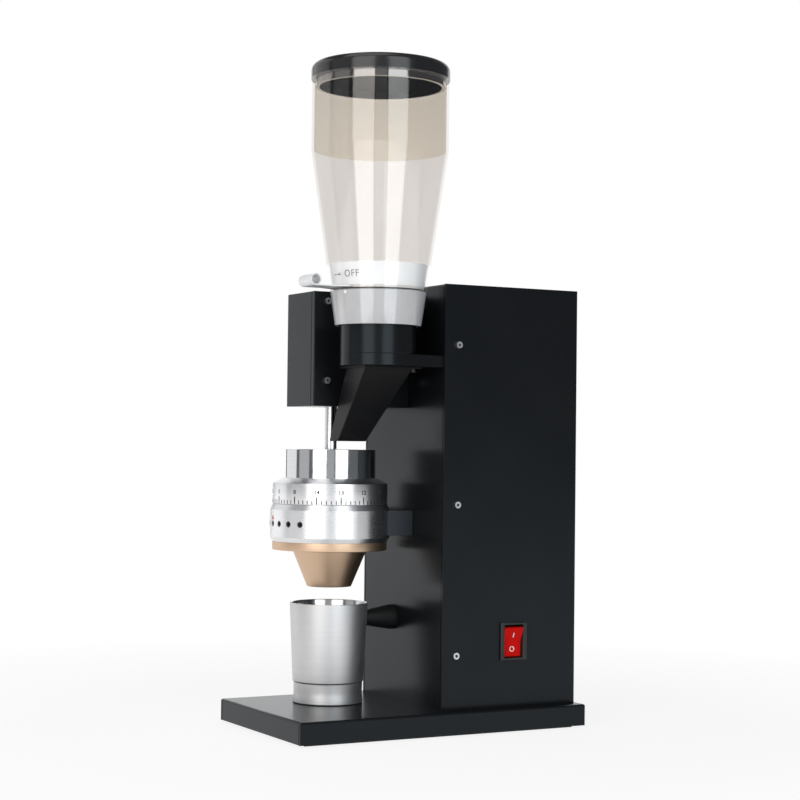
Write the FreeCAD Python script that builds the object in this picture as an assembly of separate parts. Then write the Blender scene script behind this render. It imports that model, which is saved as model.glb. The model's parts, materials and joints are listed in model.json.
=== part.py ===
import FreeCAD, Part
import math
import os

os.makedirs("parts", exist_ok=True)
V = FreeCAD.Vector

# Burr coffee grinder, millimetres, +Z up, front towards -Y, switch side towards +X.
# Origin: middle of the base, on the surface it stands on.

# Sheet and fits
sheet = 2.0
seat_gap = 0.05
run_gap = 0.05
move_gap = 0.3
seam_gap = 0.8
end_room = 1.0

# Fasteners: radius, head radius, head height, hexagon socket across flats
m3_radius = 1.5
m3_head_radius = 2.75
m3_head_height = 2.6
m3_socket = 2.5
m4_radius = 2.0
m4_head_radius = 3.5
m4_head_height = 3.6
m4_socket = 3.0
m5_radius = 2.5
m5_head_radius = 4.25
m5_head_height = 4.6
m5_socket = 4.0

# Base
base_width = 156.0
base_length = 266.0
base_height = 18.0
base_bend = 2.0
pad_height = 2.0
pad_inset = 8.0
base_plate_thickness = 3.0
base_boss_radius = 5.0
base_boss_inset = 18.0
base_screw_length = 9.0

# Tower
tower_width = 138.7
tower_depth = 130.7
tower_height = 349.7
tower_side_inset = 14.3
tower_back_inset = 1.0
panel_flange = 24.0
cover_bend = 2.0
cover_screw_setback = 12.4
cover_screw_low = 44.1
cover_screw_middle = 167.9
cover_screw_high = 299.6
cover_screw_length = 7.0
tower_bolt_spacing = 70.0
nut_height = 4.0
nut_flats = 8.0
vent_width = 3.0
vent_length = 36.0
vent_pitch = 9.0
vent_count = 9
vent_drop = 40.0

# Rocker switch
switch_setback = 68.2
switch_height = 54.0
bezel_height = 31.0
bezel_width = 25.5
bezel_depth = 2.0
switch_body_height = 28.6
switch_body_width = 21.4
switch_body_depth = 22.0
rocker_length = 24.6
rocker_width = 17.6
rocker_rise = 5.4
rocker_dip = 3.2
rocker_back = 5.0
rocker_back_half = 4.1
rocker_tilt = 12.0
rocker_room = 1.5
rocker_pin_radius = 1.2
rocker_pin_length = 1.0
terminal_thickness = 0.8
terminal_width = 6.3
terminal_length = 10.0
terminal_spacing = 12.0

# Power inlet
inlet_height = 40.0
inlet_flange_width = 33.0
inlet_flange_height = 26.0
inlet_flange_depth = 2.5
inlet_body_width = 28.0
inlet_body_height = 20.5
inlet_body_depth = 24.0
inlet_mouth_width = 24.5
inlet_mouth_height = 16.5
inlet_mouth_depth = 18.0
inlet_pin_width = 4.0
inlet_pin_thickness = 2.0
inlet_pin_length = 12.0
inlet_pin_spacing = 7.0
inlet_pin_tail = 8.0

# Drive arm
head_x = -23.3
arm_nose = 29.3
arm_width = 52.0
arm_length = 89.8
arm_height = 95.4
arm_rise = 248.1
arm_wall = 2.5
arm_cover_thickness = 5.0
arm_seam_depth = 1.6
arm_screw_setback = 11.7
arm_screw_top_drop = 8.0
arm_screw_bottom_rise = 21.4
arm_post = 8.0
arm_bolt_offset = 9.0
arm_bolt_drop = 7.5
arm_bolt_rise = 9.0
belt_window_drop = 24.0

# Spindle, bearings and belt
spindle_radius = 5.0
spindle_below_carrier = 9.0
spindle_room = 1.5
carrier_nut_flats = 17.0
carrier_nut_height = 6.0
bearing_radius = 13.0
bearing_height = 8.0
housing_radius = 17.0
housing_height = 42.0
housing_flange = 41.0
housing_flange_thickness = 5.0
housing_bolt_offset = 16.0
housing_lip = 1.5
pulley_lift = 8.0
pulley_width = 12.0
pulley_flange_width = 2.0
pulley_flange_rise = 2.6
driven_pulley_radius = 16.0
drive_pulley_radius = 12.0
belt_thickness = 1.8

# Motor
motor_setback = 66.0
motor_side_room = 7.7
motor_length = 150.0
motor_wall = 2.5
motor_boss_radius = 16.0
motor_boss_height = 4.0
motor_shaft_radius = 5.0
stator_thickness = 12.0
stator_height = 80.0
rotor_gap = 0.8
motor_bearing_radius = 11.0
motor_bearing_height = 7.0
motor_plate_thickness = 5.0
motor_plate_rise = 18.0
motor_plate_drop = 26.0
motor_bolt_inset = 9.0

# Run capacitor
capacitor_side_room = 8.0
capacitor_motor_gap = 3.0
capacitor_height = 70.0
capacitor_setback = 32.0
stud_radius = 4.0
stud_end = 6.0

# Grinding head
body_radius = 50.6
body_bottom = 155.2
body_height = 31.2
body_chamfer_height = 3.8
body_chamfer = 2.1
body_shoulder = 4.6
chamber_radius = 44.0
guide_length = 10.0
spigot_radius = 43.0
spigot_height = 3.0
dial_radius = 48.4
dial_height = 17.4
dial_shoulder = 4.4
dial_gap = 0.2
holder_radius = 38.1
holder_wall = 3.6
holder_rise = 24.0
holder_floor = 8.0
throat_slope = 14.0
burr_radius = 32.0
burr_bore = 19.0
burr_thickness = 8.0
burr_gap = 0.5
burr_groove_count = 18
burr_groove_width = 3.0
burr_groove_depth = 1.6
burr_groove_angle = 22.0
carrier_radius = 34.0
carrier_thickness = 4.6
wiper_height = 3.4
wiper_reach = 42.5
wiper_width = 5.0
wiper_inner = 24.0
guide_pin_radius = 2.0
guide_pin_depth = 2.4
grub_radius = 2.5
grub_length = 5.0
grub_sink = 0.5
grub_socket = 2.5
grub_count = 7
grub_spacing = 13.5
grub_height = 15.0
pointer_angle = -6.0
bracket_width = 71.4
bracket_height = 20.8
bracket_rise = 5.5
head_bolt_offset = 16.0
head_bolt_engage = 5.0

# Grounds funnel
funnel_flange_radius = 48.3
funnel_flange_height = 7.2
funnel_floor = 2.0
funnel_spigot = 2.0
funnel_spigot_height = 3.0
funnel_cone_top = 31.4
funnel_cone_bottom = 18.6
funnel_cone_height = 30.8
funnel_wall = 2.0

# Dosing cup and its stop
cup_height = 83.7
cup_rim_radius = 32.9
cup_waist_radius = 29.8
cup_waist_height = 18.0
cup_foot_radius = 28.6
cup_step = 0.8
cup_wall = 1.6
cup_floor = 4.0
stop_height = 69.4
stop_base_radius = 10.5
stop_tip_radius = 6.4
stop_collar = 2.5
stop_gap = 0.6
stop_recess = 5.0

# Hopper, its plate and chute
hopper_reach = 51.8
hopper_arm_gap = 0.7
plate_rise = 280.8
plate_thickness = 9.4
plate_end_inset = 1.8
plate_bolt_spacing = 22.0
plate_bolt_engage = 14.0
collar_radius = 31.2
collar_height = 25.0
hopper_wall = 2.0
skirt_radius = 35.4
skirt_drop = 1.6
cone_height = 143.6
hopper_radius = 56.2
hopper_cylinder = 58.0
spigot_outer = 26.0
spigot_depth = 15.0
throat_radius = 15.0
web_rise = 26.8
web_thickness = 2.5
gate_slot = 1.8
gate_thickness = 1.0
gate_lift = 0.4
gate_width = 36.0
gate_tail = 19.0
gate_reach = 62.3
gate_taper = 14.0
handle_width = 23.0
handle_radius = 4.8
handle_wall = 1.0
gate_ring_height = 18.6
gate_ring_wall = 2.0
label_thickness = 0.3
label_height = 54.5
label_gap = 0.05
label_turn = 61.0
lid_height = 13.0
lid_overhang = 0.8
lid_round = 6.0
lid_plug_depth = 6.0
lid_plug_gap = 1.0
lid_wall = 3.0
chute_top_width = 33.7
chute_top_depth = 43.5
chute_top_shift = 1.8
chute_bottom_width = 17.0
chute_bottom_depth = 26.0
chute_bottom_x = 18.8
chute_bottom_y = 6.2
chute_gap = 7.0
chute_wall = 1.5
chute_lip = 2.0
chute_tab = 7.0
chute_screw_spacing = 20.0
chute_flange_thickness = 2.0

# Places that follow from the sizes
base_top = pad_height + base_height
tower_near = base_width / 2 - tower_side_inset
tower_far = tower_near - tower_width
tower_back = base_length / 2 - tower_back_inset
tower_front = tower_back - tower_depth
tower_top = base_top + tower_height
panel_near = tower_near - sheet - seam_gap
panel_far = tower_far + sheet + seam_gap
panel_inside = tower_front + sheet
head_reach = arm_length - arm_nose
head_y = tower_front - head_reach
head = (head_x, head_y)
arm_near = head_x + arm_width / 2
arm_far = head_x - arm_width / 2
arm_front = tower_front - arm_length
arm_bottom = base_top + arm_rise
arm_top = arm_bottom + arm_height
cover_inside = arm_near - arm_cover_thickness
motor_y = tower_front + motor_setback
motor = (head_x, motor_y)
motor_radius = head_x - tower_far - sheet - motor_side_room
plate_bottom = base_top + plate_rise
plate_top = plate_bottom + plate_thickness
collar_top = plate_top + collar_height
skirt_bottom = collar_top - skirt_drop
cone_top = skirt_bottom + cone_height
hopper_top = cone_top + hopper_cylinder


def hopper_radius_at(z):
    share = min(max((z - skirt_bottom) / cone_height, 0.0), 1.0)
    return skirt_radius + (hopper_radius - skirt_radius) * share


hopper_x = arm_near + hopper_arm_gap + hopper_radius_at(arm_top)
hopper_y = tower_front - hopper_reach
hopper = (hopper_x, hopper_y)


# Shape helpers
def block(x0, x1, y0, y1, z0, z1):
    return Part.makeBox(x1 - x0, y1 - y0, z1 - z0, V(x0, y0, z0))


def disc(radius, z0, z1, at):
    return Part.makeCylinder(radius, z1 - z0, V(at[0], at[1], z0))


def ring(outer, inner, z0, z1, at):
    return disc(outer, z0, z1, at).cut(disc(inner, z0, z1, at))


def cone(radius0, radius1, z0, z1, at):
    return Part.makeCone(radius0, radius1, z1 - z0, V(at[0], at[1], z0))


def turned(points, at):
    outline = [V(at[0] + r, at[1], z) for r, z in points]
    face = Part.Face(Part.makePolygon(outline + outline[:1]))
    return face.revolve(V(at[0], at[1], 0), V(0, 0, 1), 360)


def prism(points, z0, z1):
    outline = [V(x, y, z0) for x, y in points]
    face = Part.Face(Part.makePolygon(outline + outline[:1]))
    return face.extrude(V(0, 0, z1 - z0))


def join(shapes):
    return shapes[0].multiFuse(shapes[1:]).removeSplitter()


def minus(shape, cutters):
    return shape.cut(Part.makeCompound(cutters))


def placed(shape, point, direction):
    moved = shape.copy()
    moved.Placement = FreeCAD.Placement(point, FreeCAD.Rotation(V(0, 0, 1), direction))
    return moved


def hexagon(flats, z0, z1):
    reach = flats / math.sqrt(3)
    corners = [(reach * math.cos(math.radians(60 * k)), reach * math.sin(math.radians(60 * k)))
               for k in range(6)]
    return prism(corners, z0, z1)


def cap_screw(point, outward, radius, head_radius, head_height, socket, length):
    body = join([disc(head_radius, 0, head_height, (0, 0)), disc(radius, -length, 0, (0, 0))])
    body = body.cut(hexagon(socket, head_height / 2, head_height))
    return placed(body, point, outward)


def flat_screw(point, outward, radius, head_radius, length):
    head_height = head_radius - radius
    body = join([cone(radius, head_radius, -head_height, 0, (0, 0)),
                 disc(radius, -length, -head_height, (0, 0))])
    body = body.cut(hexagon(radius, -head_height, 0))
    return placed(body, point, outward)


def drill(point, outward, radius, length):
    return placed(disc(radius + seat_gap, -length, 0, (0, 0)), point, outward)


def sunk(point, outward, radius, head_radius, length):
    head_height = head_radius - radius
    body = join([cone(radius + seat_gap, head_radius + seat_gap, -head_height, 0, (0, 0)),
                 disc(radius + seat_gap, -length, -head_height, (0, 0))])
    return placed(body, point, outward)


def around(at, radius, count, first=0.0):
    return [(at[0] + radius * math.cos(math.radians(first + 360.0 * k / count)),
             at[1] + radius * math.sin(math.radians(first + 360.0 * k / count))) for k in range(count)]


def save(name, shapes):
    shape = Part.makeCompound(shapes) if isinstance(shapes, list) else shapes
    shape.exportStep("parts/" + name + ".step")
    print(name, len(shape.Solids), shape.isValid(), round(shape.Volume, 1))


def edges_where(shape, test):
    return [edge for edge in shape.Edges if all(test(vertex.Point) for vertex in edge.Vertexes)]


def near_to(value, target):
    return abs(value - target) < 1e-6


up = V(0, 0, 1)
down = V(0, 0, -1)
near_side = V(1, 0, 0)
far_side = V(-1, 0, 0)
forward = V(0, -1, 0)
backward = V(0, 1, 0)

# Base tray, closing plate and rubber pad
half_width = base_width / 2
half_length = base_length / 2
base_plate_top = pad_height + base_plate_thickness
tray = block(-half_width, half_width, -half_length, half_length, pad_height, base_top)
tray = tray.makeFillet(base_bend, edges_where(tray, lambda p: near_to(p.z, base_top)))
hollow = block(sheet - half_width, half_width - sheet, sheet - half_length, half_length - sheet,
               pad_height, base_top - sheet)
slits = []
for side in (-1, 1):
    slit_inner = side * (half_width - sheet - seam_gap)
    slit_outer = side * (half_width - sheet)
    for end in (-half_length, half_length - sheet):
        slits.append(block(min(slit_inner, slit_outer), max(slit_inner, slit_outer), end, end + sheet,
                           pad_height, base_top - sheet))
tray = minus(tray, [hollow] + slits)
boss_x = half_width - base_boss_inset
boss_y = half_length - base_boss_inset
boss_places = [(x, y) for x in (-boss_x, boss_x) for y in (-boss_y, boss_y)]
tray = join([tray] + [disc(base_boss_radius, base_plate_top, base_top - sheet, at) for at in boss_places])
boss_holes = [drill(V(x, y, pad_height), down, m4_radius, base_screw_length + end_room)
              for x, y in boss_places]
tower_middle = (tower_near + tower_far) / 2
tower_bolt_x = [tower_middle - tower_bolt_spacing / 2, tower_middle + tower_bolt_spacing / 2]
tower_bolt_y = [tower_front + panel_flange / 2 + sheet / 2, tower_back - sheet - panel_flange / 2]
tower_bolt_places = [V(x, y, base_top - sheet) for x in tower_bolt_x for y in tower_bolt_y]
tower_bolt_length = 2 * sheet + nut_height + end_room
save("base_tray", minus(tray, boss_holes + [drill(p, down, m5_radius, tower_bolt_length)
                                            for p in tower_bolt_places]))

plate_x = half_width - sheet - move_gap
plate_y = half_length - sheet - move_gap
closing = block(-plate_x, plate_x, -plate_y, plate_y, pad_height, base_plate_top)
save("base_plate", minus(closing, [sunk(V(x, y, pad_height), down, m4_radius, m4_head_radius,
                                        base_screw_length) for x, y in boss_places]))
save("base_screws", [flat_screw(V(x, y, pad_height), down, m4_radius, m4_head_radius, base_screw_length)
                     for x, y in boss_places])
save("base_pad", block(pad_inset - half_width, half_width - pad_inset,
                       pad_inset - half_length, half_length - pad_inset, 0, pad_height))
save("tower_bolts", [cap_screw(p, down, m5_radius, m5_head_radius, m5_head_height, m5_socket,
                               tower_bolt_length) for p in tower_bolt_places])
nut = hexagon(nut_flats, 0, nut_height).cut(disc(m5_radius + seat_gap, 0, nut_height, (0, 0)))
nut_level = base_top + sheet
nuts = [placed(nut, V(p.x, p.y, nut_level), up) for p in tower_bolt_places]

# Places of the fasteners in the tower's front
cover_levels = [base_top + rise for rise in (cover_screw_low, cover_screw_middle, cover_screw_high)]
cover_screw_y = tower_front + cover_screw_setback
cover_screw_seats = [(V(tower_near, cover_screw_y, z), near_side) for z in cover_levels]
cover_screw_seats += [(V(tower_far, cover_screw_y, z), far_side) for z in cover_levels]
bolt_levels = [arm_bottom + arm_bolt_rise, arm_top - arm_bolt_drop]
arm_bolt_seats = [V(head_x + side * arm_bolt_offset, tower_front - arm_wall, z)
                  for side in (-1, 1) for z in bolt_levels]
arm_bolt_length = arm_wall + sheet + motor_plate_thickness
bracket_bottom = body_bottom + bracket_rise
bracket_level = bracket_bottom + bracket_height / 2
head_bolt_seats = [V(head_x + side * head_bolt_offset, panel_inside, bracket_level) for side in (-1, 1)]
head_bolt_surface = head_y + math.sqrt(body_radius ** 2 - head_bolt_offset ** 2)
head_bolt_length = panel_inside - head_bolt_surface + head_bolt_engage
plate_level = plate_bottom + plate_thickness / 2
plate_near_end = tower_near - plate_end_inset
plate_far_end = hopper_x - collar_radius
plate_middle = (plate_near_end + plate_far_end) / 2
plate_bolt_seats = [V(plate_middle + side * plate_bolt_spacing / 2, panel_inside, plate_level)
                    for side in (-1, 1)]
plate_bolt_length = sheet + plate_bolt_engage
stop_level = base_top + stop_height
cup_radius_at_stop = cup_waist_radius + (cup_rim_radius - cup_waist_radius) * (
    (stop_height - cup_waist_height) / (cup_height - cup_waist_height))
stop_tip = head_y + cup_radius_at_stop + stop_gap
stop_screw_seat = V(head_x, stop_tip + stop_recess, stop_level)
stop_screw_length = panel_inside - stop_screw_seat.y + nut_height + end_room
pulley_bottom = arm_bottom + arm_wall + housing_height + pulley_lift
pulley_top = pulley_bottom + pulley_width
belt_room = driven_pulley_radius + move_gap + belt_thickness + move_gap
window_half = belt_room + move_gap
window = block(head_x - window_half, head_x + window_half, tower_front - arm_wall, panel_inside,
               pulley_bottom, pulley_top)

# Tower chassis: front panel, side flanges, top and foot flange folded from one sheet
flange_back = tower_front + panel_flange
chassis = join([
    block(panel_far, panel_near, tower_front, panel_inside, base_top, tower_top),
    block(panel_far, panel_far + sheet, tower_front, flange_back, base_top, tower_top),
    block(panel_near - sheet, panel_near, tower_front, flange_back, base_top, tower_top),
    block(panel_far, panel_near, tower_front, tower_back - sheet - seam_gap, tower_top - sheet, tower_top),
    block(panel_far, panel_near, tower_front, flange_back, base_top, base_top + sheet)])
chassis = chassis.makeFillet(base_bend, edges_where(
    chassis, lambda p: near_to(p.z, tower_top) and near_to(p.y, tower_front)))
chassis_holes = [window]
chassis_holes += [drill(p, out, m3_radius, cover_screw_length + end_room) for p, out in cover_screw_seats]
chassis_holes += [drill(p, forward, m4_radius, arm_bolt_length) for p in arm_bolt_seats]
chassis_holes += [drill(p, backward, m5_radius, head_bolt_length) for p in head_bolt_seats]
chassis_holes += [drill(p, backward, m5_radius, plate_bolt_length) for p in plate_bolt_seats]
chassis_holes.append(drill(stop_screw_seat, forward, m5_radius, stop_screw_length))
chassis_holes += [drill(p, down, m5_radius, tower_bolt_length) for p in tower_bolt_places]
save("tower_chassis", minus(chassis, chassis_holes))

# Wrap cover: both sides and the back, with the switch, inlet and vent cut-outs
switch_y = tower_front + switch_setback
switch_z = base_top + switch_height
inlet_x = tower_middle
inlet_z = base_top + inlet_height
wrap = block(tower_far, tower_near, tower_front, tower_back, base_top, tower_top)
wrap = wrap.makeFillet(cover_bend, [edge for edge in wrap.Edges
                                    if all(near_to(v.Y, tower_back) for v in edge.Vertexes)
                                    and abs(edge.Vertexes[0].Z - edge.Vertexes[1].Z) > sheet])
wrap = wrap.cut(block(tower_far + sheet, tower_near - sheet, tower_front, tower_back - sheet,
                      base_top, tower_top))
wrap = join([wrap, block(tower_far + sheet, tower_near - sheet, tower_back - sheet - panel_flange,
                         tower_back - sheet, base_top, base_top + sheet)])
wrap_holes = [drill(p, out, m3_radius, cover_screw_length) for p, out in cover_screw_seats]
wrap_holes += [drill(p, down, m5_radius, tower_bolt_length) for p in tower_bolt_places]
switch_hole_y = switch_body_width / 2 + move_gap
switch_hole_z = switch_body_height / 2 + move_gap
wrap_holes.append(block(tower_near - sheet, tower_near, switch_y - switch_hole_y, switch_y + switch_hole_y,
                        switch_z - switch_hole_z, switch_z + switch_hole_z))
inlet_hole_x = inlet_body_width / 2 + move_gap
inlet_hole_z = inlet_body_height / 2 + move_gap
wrap_holes.append(block(inlet_x - inlet_hole_x, inlet_x + inlet_hole_x, tower_back - sheet, tower_back,
                        inlet_z - inlet_hole_z, inlet_z + inlet_hole_z))
vent_top = tower_top - vent_drop
for k in range(vent_count):
    vent_x = inlet_x + (k - (vent_count - 1) / 2) * vent_pitch
    wrap_holes.append(block(vent_x - vent_width / 2, vent_x + vent_width / 2, tower_back - sheet, tower_back,
                            vent_top - vent_length, vent_top))
save("wrap_cover", minus(wrap, wrap_holes))
save("cover_screws", [cap_screw(p, out, m3_radius, m3_head_radius, m3_head_height, m3_socket,
                                cover_screw_length) for p, out in cover_screw_seats])

# Rocker switch: bezel and body, rocker on its trunnions, blade terminals
pocket_half_width = rocker_width / 2 + move_gap
pocket_half_length = rocker_length / 2 + rocker_room
pocket_depth = rocker_rise + rocker_back + rocker_room + end_room
pivot_x = tower_near - rocker_rise + bezel_depth / 2
switch_back = tower_near - switch_body_depth
housing = join([
    block(tower_near, tower_near + bezel_depth, switch_y - bezel_width / 2, switch_y + bezel_width / 2,
          switch_z - bezel_height / 2, switch_z + bezel_height / 2),
    block(switch_back, tower_near, switch_y - switch_body_width / 2, switch_y + switch_body_width / 2,
          switch_z - switch_body_height / 2, switch_z + switch_body_height / 2)])
pocket = block(tower_near - pocket_depth, tower_near + bezel_depth, switch_y - pocket_half_width,
               switch_y + pocket_half_width, switch_z - pocket_half_length, switch_z + pocket_half_length)
trunnion_half = rocker_width / 2 + rocker_pin_length
trunnion_hole = Part.makeCylinder(rocker_pin_radius + run_gap, 2 * (trunnion_half + run_gap),
                                  V(pivot_x, switch_y - trunnion_half - run_gap, switch_z), backward)
save("switch_housing", minus(housing, [pocket, trunnion_hole]))

rocker_half = rocker_length / 2
rocker_outline = [(rocker_rise, rocker_half), (rocker_dip, 0), (rocker_rise, -rocker_half),
                  (0, -rocker_half), (-rocker_back, -rocker_back_half), (-rocker_back, rocker_back_half),
                  (0, rocker_half)]
rocker_points = [V(pivot_x + x, switch_y - rocker_width / 2, switch_z + z) for x, z in rocker_outline]
rocker = Part.Face(Part.makePolygon(rocker_points + rocker_points[:1])).extrude(V(0, rocker_width, 0))
trunnion = Part.makeCylinder(rocker_pin_radius, 2 * trunnion_half,
                             V(pivot_x, switch_y - trunnion_half, switch_z), backward)
rocker = join([rocker, trunnion])
rocker.rotate(V(pivot_x, switch_y, switch_z), backward, rocker_tilt)
save("rocker", rocker)
terminals = []
for side in (-1, 1):
    for level in (-1, 1):
        terminal_y = switch_y + side * terminal_spacing / 2
        terminal_z = switch_z + level * terminal_spacing / 2
        terminals.append(block(switch_back - terminal_length, switch_back,
                               terminal_y - terminal_width / 2, terminal_y + terminal_width / 2,
                               terminal_z - terminal_thickness / 2, terminal_z + terminal_thickness / 2))
save("switch_terminals", terminals)

# Snap-in power inlet on the back, with blade pins
inlet_front = tower_back - inlet_body_depth
mouth = tower_back + inlet_flange_depth
inlet = join([
    block(inlet_x - inlet_flange_width / 2, inlet_x + inlet_flange_width / 2, tower_back, mouth,
          inlet_z - inlet_flange_height / 2, inlet_z + inlet_flange_height / 2),
    block(inlet_x - inlet_body_width / 2, inlet_x + inlet_body_width / 2, inlet_front, tower_back,
          inlet_z - inlet_body_height / 2, inlet_z + inlet_body_height / 2)])
pin_base = mouth - inlet_mouth_depth
pin_places = [(-inlet_pin_spacing, -inlet_pin_width / 2), (0, inlet_pin_width / 2),
              (inlet_pin_spacing, -inlet_pin_width / 2)]
pin_blocks = [block(inlet_x + x - inlet_pin_thickness / 2, inlet_x + x + inlet_pin_thickness / 2,
                    inlet_front - inlet_pin_tail, pin_base + inlet_pin_length,
                    inlet_z + z - inlet_pin_width / 2, inlet_z + z + inlet_pin_width / 2)
              for x, z in pin_places]
inlet_cuts = [block(inlet_x - inlet_mouth_width / 2, inlet_x + inlet_mouth_width / 2, pin_base, mouth,
                    inlet_z - inlet_mouth_height / 2, inlet_z + inlet_mouth_height / 2)]
save("inlet_socket", minus(inlet, inlet_cuts + pin_blocks))
save("inlet_pins", pin_blocks)

# Drive arm: box with posts, its near cover and their screws
arm_inner_top = arm_top - arm_wall
arm_inner_bottom = arm_bottom + arm_wall
arm_box = block(arm_far, cover_inside, arm_front, tower_front, arm_bottom, arm_top)
arm_box = arm_box.cut(block(arm_far + arm_wall, cover_inside, arm_front + arm_wall, tower_front - arm_wall,
                            arm_inner_bottom, arm_inner_top))
seam_back = cover_inside - seam_gap
seam_ring = block(seam_back, cover_inside, arm_front, tower_front, arm_bottom, arm_top).cut(
    block(seam_back, cover_inside, arm_front + arm_seam_depth, tower_front, arm_bottom + arm_seam_depth,
          arm_top - arm_seam_depth))
arm_box = arm_box.cut(seam_ring)
arm_screw_y = [arm_front + arm_screw_setback, tower_front - arm_screw_setback]
arm_screw_z = [arm_bottom + arm_screw_bottom_rise, arm_top - arm_screw_top_drop]
arm_posts = []
for y in arm_screw_y:
    front_post = near_to(y, arm_screw_y[0])
    post_start = arm_front + arm_wall if front_post else y - arm_post / 2
    post_end = y + arm_post / 2 if front_post else tower_front - arm_wall
    arm_posts += [block(cover_inside - arm_post, cover_inside, post_start, post_end,
                        z - arm_post / 2, z + arm_post / 2) for z in arm_screw_z]
arm_screw_seats = [V(arm_near, y, z) for y in arm_screw_y for z in arm_screw_z]
arm_screw_length = arm_cover_thickness + arm_post - end_room
arm_screw_holes = [drill(p, near_side, m3_radius, arm_screw_length) for p in arm_screw_seats]
housing_bolt_places = [(head_x + sx * housing_bolt_offset, head_y + sy * housing_bolt_offset)
                       for sx in (-1, 1) for sy in (-1, 1)]
housing_bolt_level = arm_inner_bottom + housing_flange_thickness
housing_bolt_length = housing_flange_thickness + arm_wall
housing_bolt_holes = [drill(V(x, y, housing_bolt_level), up, m4_radius, housing_bolt_length)
                      for x, y in housing_bolt_places]
arm_holes = arm_screw_holes + housing_bolt_holes
arm_holes += [drill(p, forward, m4_radius, arm_bolt_length) for p in arm_bolt_seats]
arm_holes += [window, disc(spindle_radius + spindle_room, arm_bottom, arm_inner_bottom, head)]
save("arm_housing", minus(join([arm_box] + arm_posts), arm_holes))

arm_cover = block(cover_inside, arm_near, arm_front, tower_front, arm_bottom, arm_top)
arm_cover = arm_cover.makeFillet(seam_gap, edges_where(arm_cover, lambda p: near_to(p.x, arm_near)))
save("arm_cover", minus(arm_cover, arm_screw_holes))
save("arm_cover_screws", [cap_screw(p, near_side, m3_radius, m3_head_radius, m3_head_height, m3_socket,
                                    arm_screw_length) for p in arm_screw_seats])
save("arm_bolts", [cap_screw(p, forward, m4_radius, m4_head_radius, m4_head_height, m4_socket,
                             arm_bolt_length) for p in arm_bolt_seats])

# Bearing housing on the arm's floor, its bolts and its two bearings
housing_top = arm_inner_bottom + housing_height
half_flange = housing_flange / 2
tube = join([block(head_x - half_flange, head_x + half_flange, head_y - half_flange, head_y + half_flange,
                   arm_inner_bottom, housing_bolt_level),
             disc(housing_radius, arm_inner_bottom, housing_top, head)])
lower_seat = arm_inner_bottom + housing_lip
upper_seat = housing_top - bearing_height
bores = [disc(bearing_radius - housing_lip, arm_inner_bottom, housing_top, head),
         disc(bearing_radius + seat_gap, lower_seat, lower_seat + bearing_height, head),
         disc(bearing_radius + seat_gap, upper_seat, housing_top, head)]
save("bearing_housing", minus(tube, bores + housing_bolt_holes))
save("housing_bolts", [cap_screw(V(x, y, housing_bolt_level), up, m4_radius, m4_head_radius, m4_head_height,
                                 m4_socket, housing_bolt_length) for x, y in housing_bolt_places])
save("spindle_bearings", [ring(bearing_radius, spindle_radius + run_gap, z, z + bearing_height, head)
                          for z in (lower_seat, upper_seat)])

# Levels inside the grinding head
body_top = body_bottom + body_height
funnel_bottom = body_bottom - funnel_flange_height
floor_top = funnel_bottom + funnel_floor
wiper_bottom = floor_top + move_gap
carrier_bottom = wiper_bottom + wiper_height
carrier_top = carrier_bottom + carrier_thickness
lower_burr_top = carrier_top + burr_thickness
upper_burr_bottom = lower_burr_top + burr_gap
holder_bottom = upper_burr_bottom + burr_thickness
spindle_bottom = carrier_bottom - spindle_below_carrier
spindle_top = pulley_top + sheet

# Spindle, driven pulley, burr carrier with wipers and its nut
save("spindle", disc(spindle_radius, spindle_bottom, spindle_top, head))


def pulley(radius, shaft_radius, at):
    flange = radius + pulley_flange_rise
    shape = join([disc(radius, pulley_bottom, pulley_top, at),
                  disc(flange, pulley_bottom, pulley_bottom + pulley_flange_width, at),
                  disc(flange, pulley_top - pulley_flange_width, pulley_top, at)])
    return shape.cut(disc(shaft_radius + seat_gap, pulley_bottom, pulley_top, at))


save("driven_pulley", pulley(driven_pulley_radius, spindle_radius, head))
wipers = [block(wiper_inner, wiper_reach, -wiper_width / 2, wiper_width / 2, wiper_bottom, carrier_bottom),
          block(-wiper_reach, -wiper_inner, -wiper_width / 2, wiper_width / 2, wiper_bottom, carrier_bottom)]
arms = [block(-wiper_reach, wiper_reach, -wiper_width / 2, wiper_width / 2, carrier_bottom, carrier_top)]
carrier = join([disc(carrier_radius, carrier_bottom, carrier_top, (0, 0))] + wipers + arms)
carrier.translate(V(head_x, head_y, 0))
carrier_bore = disc(spindle_radius + seat_gap, wiper_bottom, carrier_top, head)
save("burr_carrier", carrier.cut(carrier_bore))
carrier_nut = hexagon(carrier_nut_flats, carrier_bottom - carrier_nut_height, carrier_bottom)
carrier_nut.translate(V(head_x, head_y, 0))
save("carrier_nut", carrier_nut.cut(disc(spindle_radius + seat_gap, spindle_bottom, carrier_bottom, head)))


# Burrs with slanted cutting grooves
def burr_grooves(level):
    cutters = []
    for k in range(burr_groove_count):
        groove = block(burr_bore - burr_groove_width, burr_radius + burr_groove_width,
                       -burr_groove_width / 2, burr_groove_width / 2,
                       level - burr_groove_depth, level + burr_groove_depth)
        groove.rotate(V(burr_bore, 0, level), up, burr_groove_angle)
        groove.rotate(V(0, 0, level), up, 360.0 * k / burr_groove_count)
        groove.translate(V(head_x, head_y, 0))
        cutters.append(groove)
    return cutters


lower_burr = ring(burr_radius, burr_bore, carrier_top, lower_burr_top, head)
save("lower_burr", minus(lower_burr, burr_grooves(lower_burr_top)))
upper_burr = ring(burr_radius, burr_bore, upper_burr_bottom, holder_bottom, head)
save("upper_burr", minus(upper_burr, burr_grooves(upper_burr_bottom)))

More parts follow.
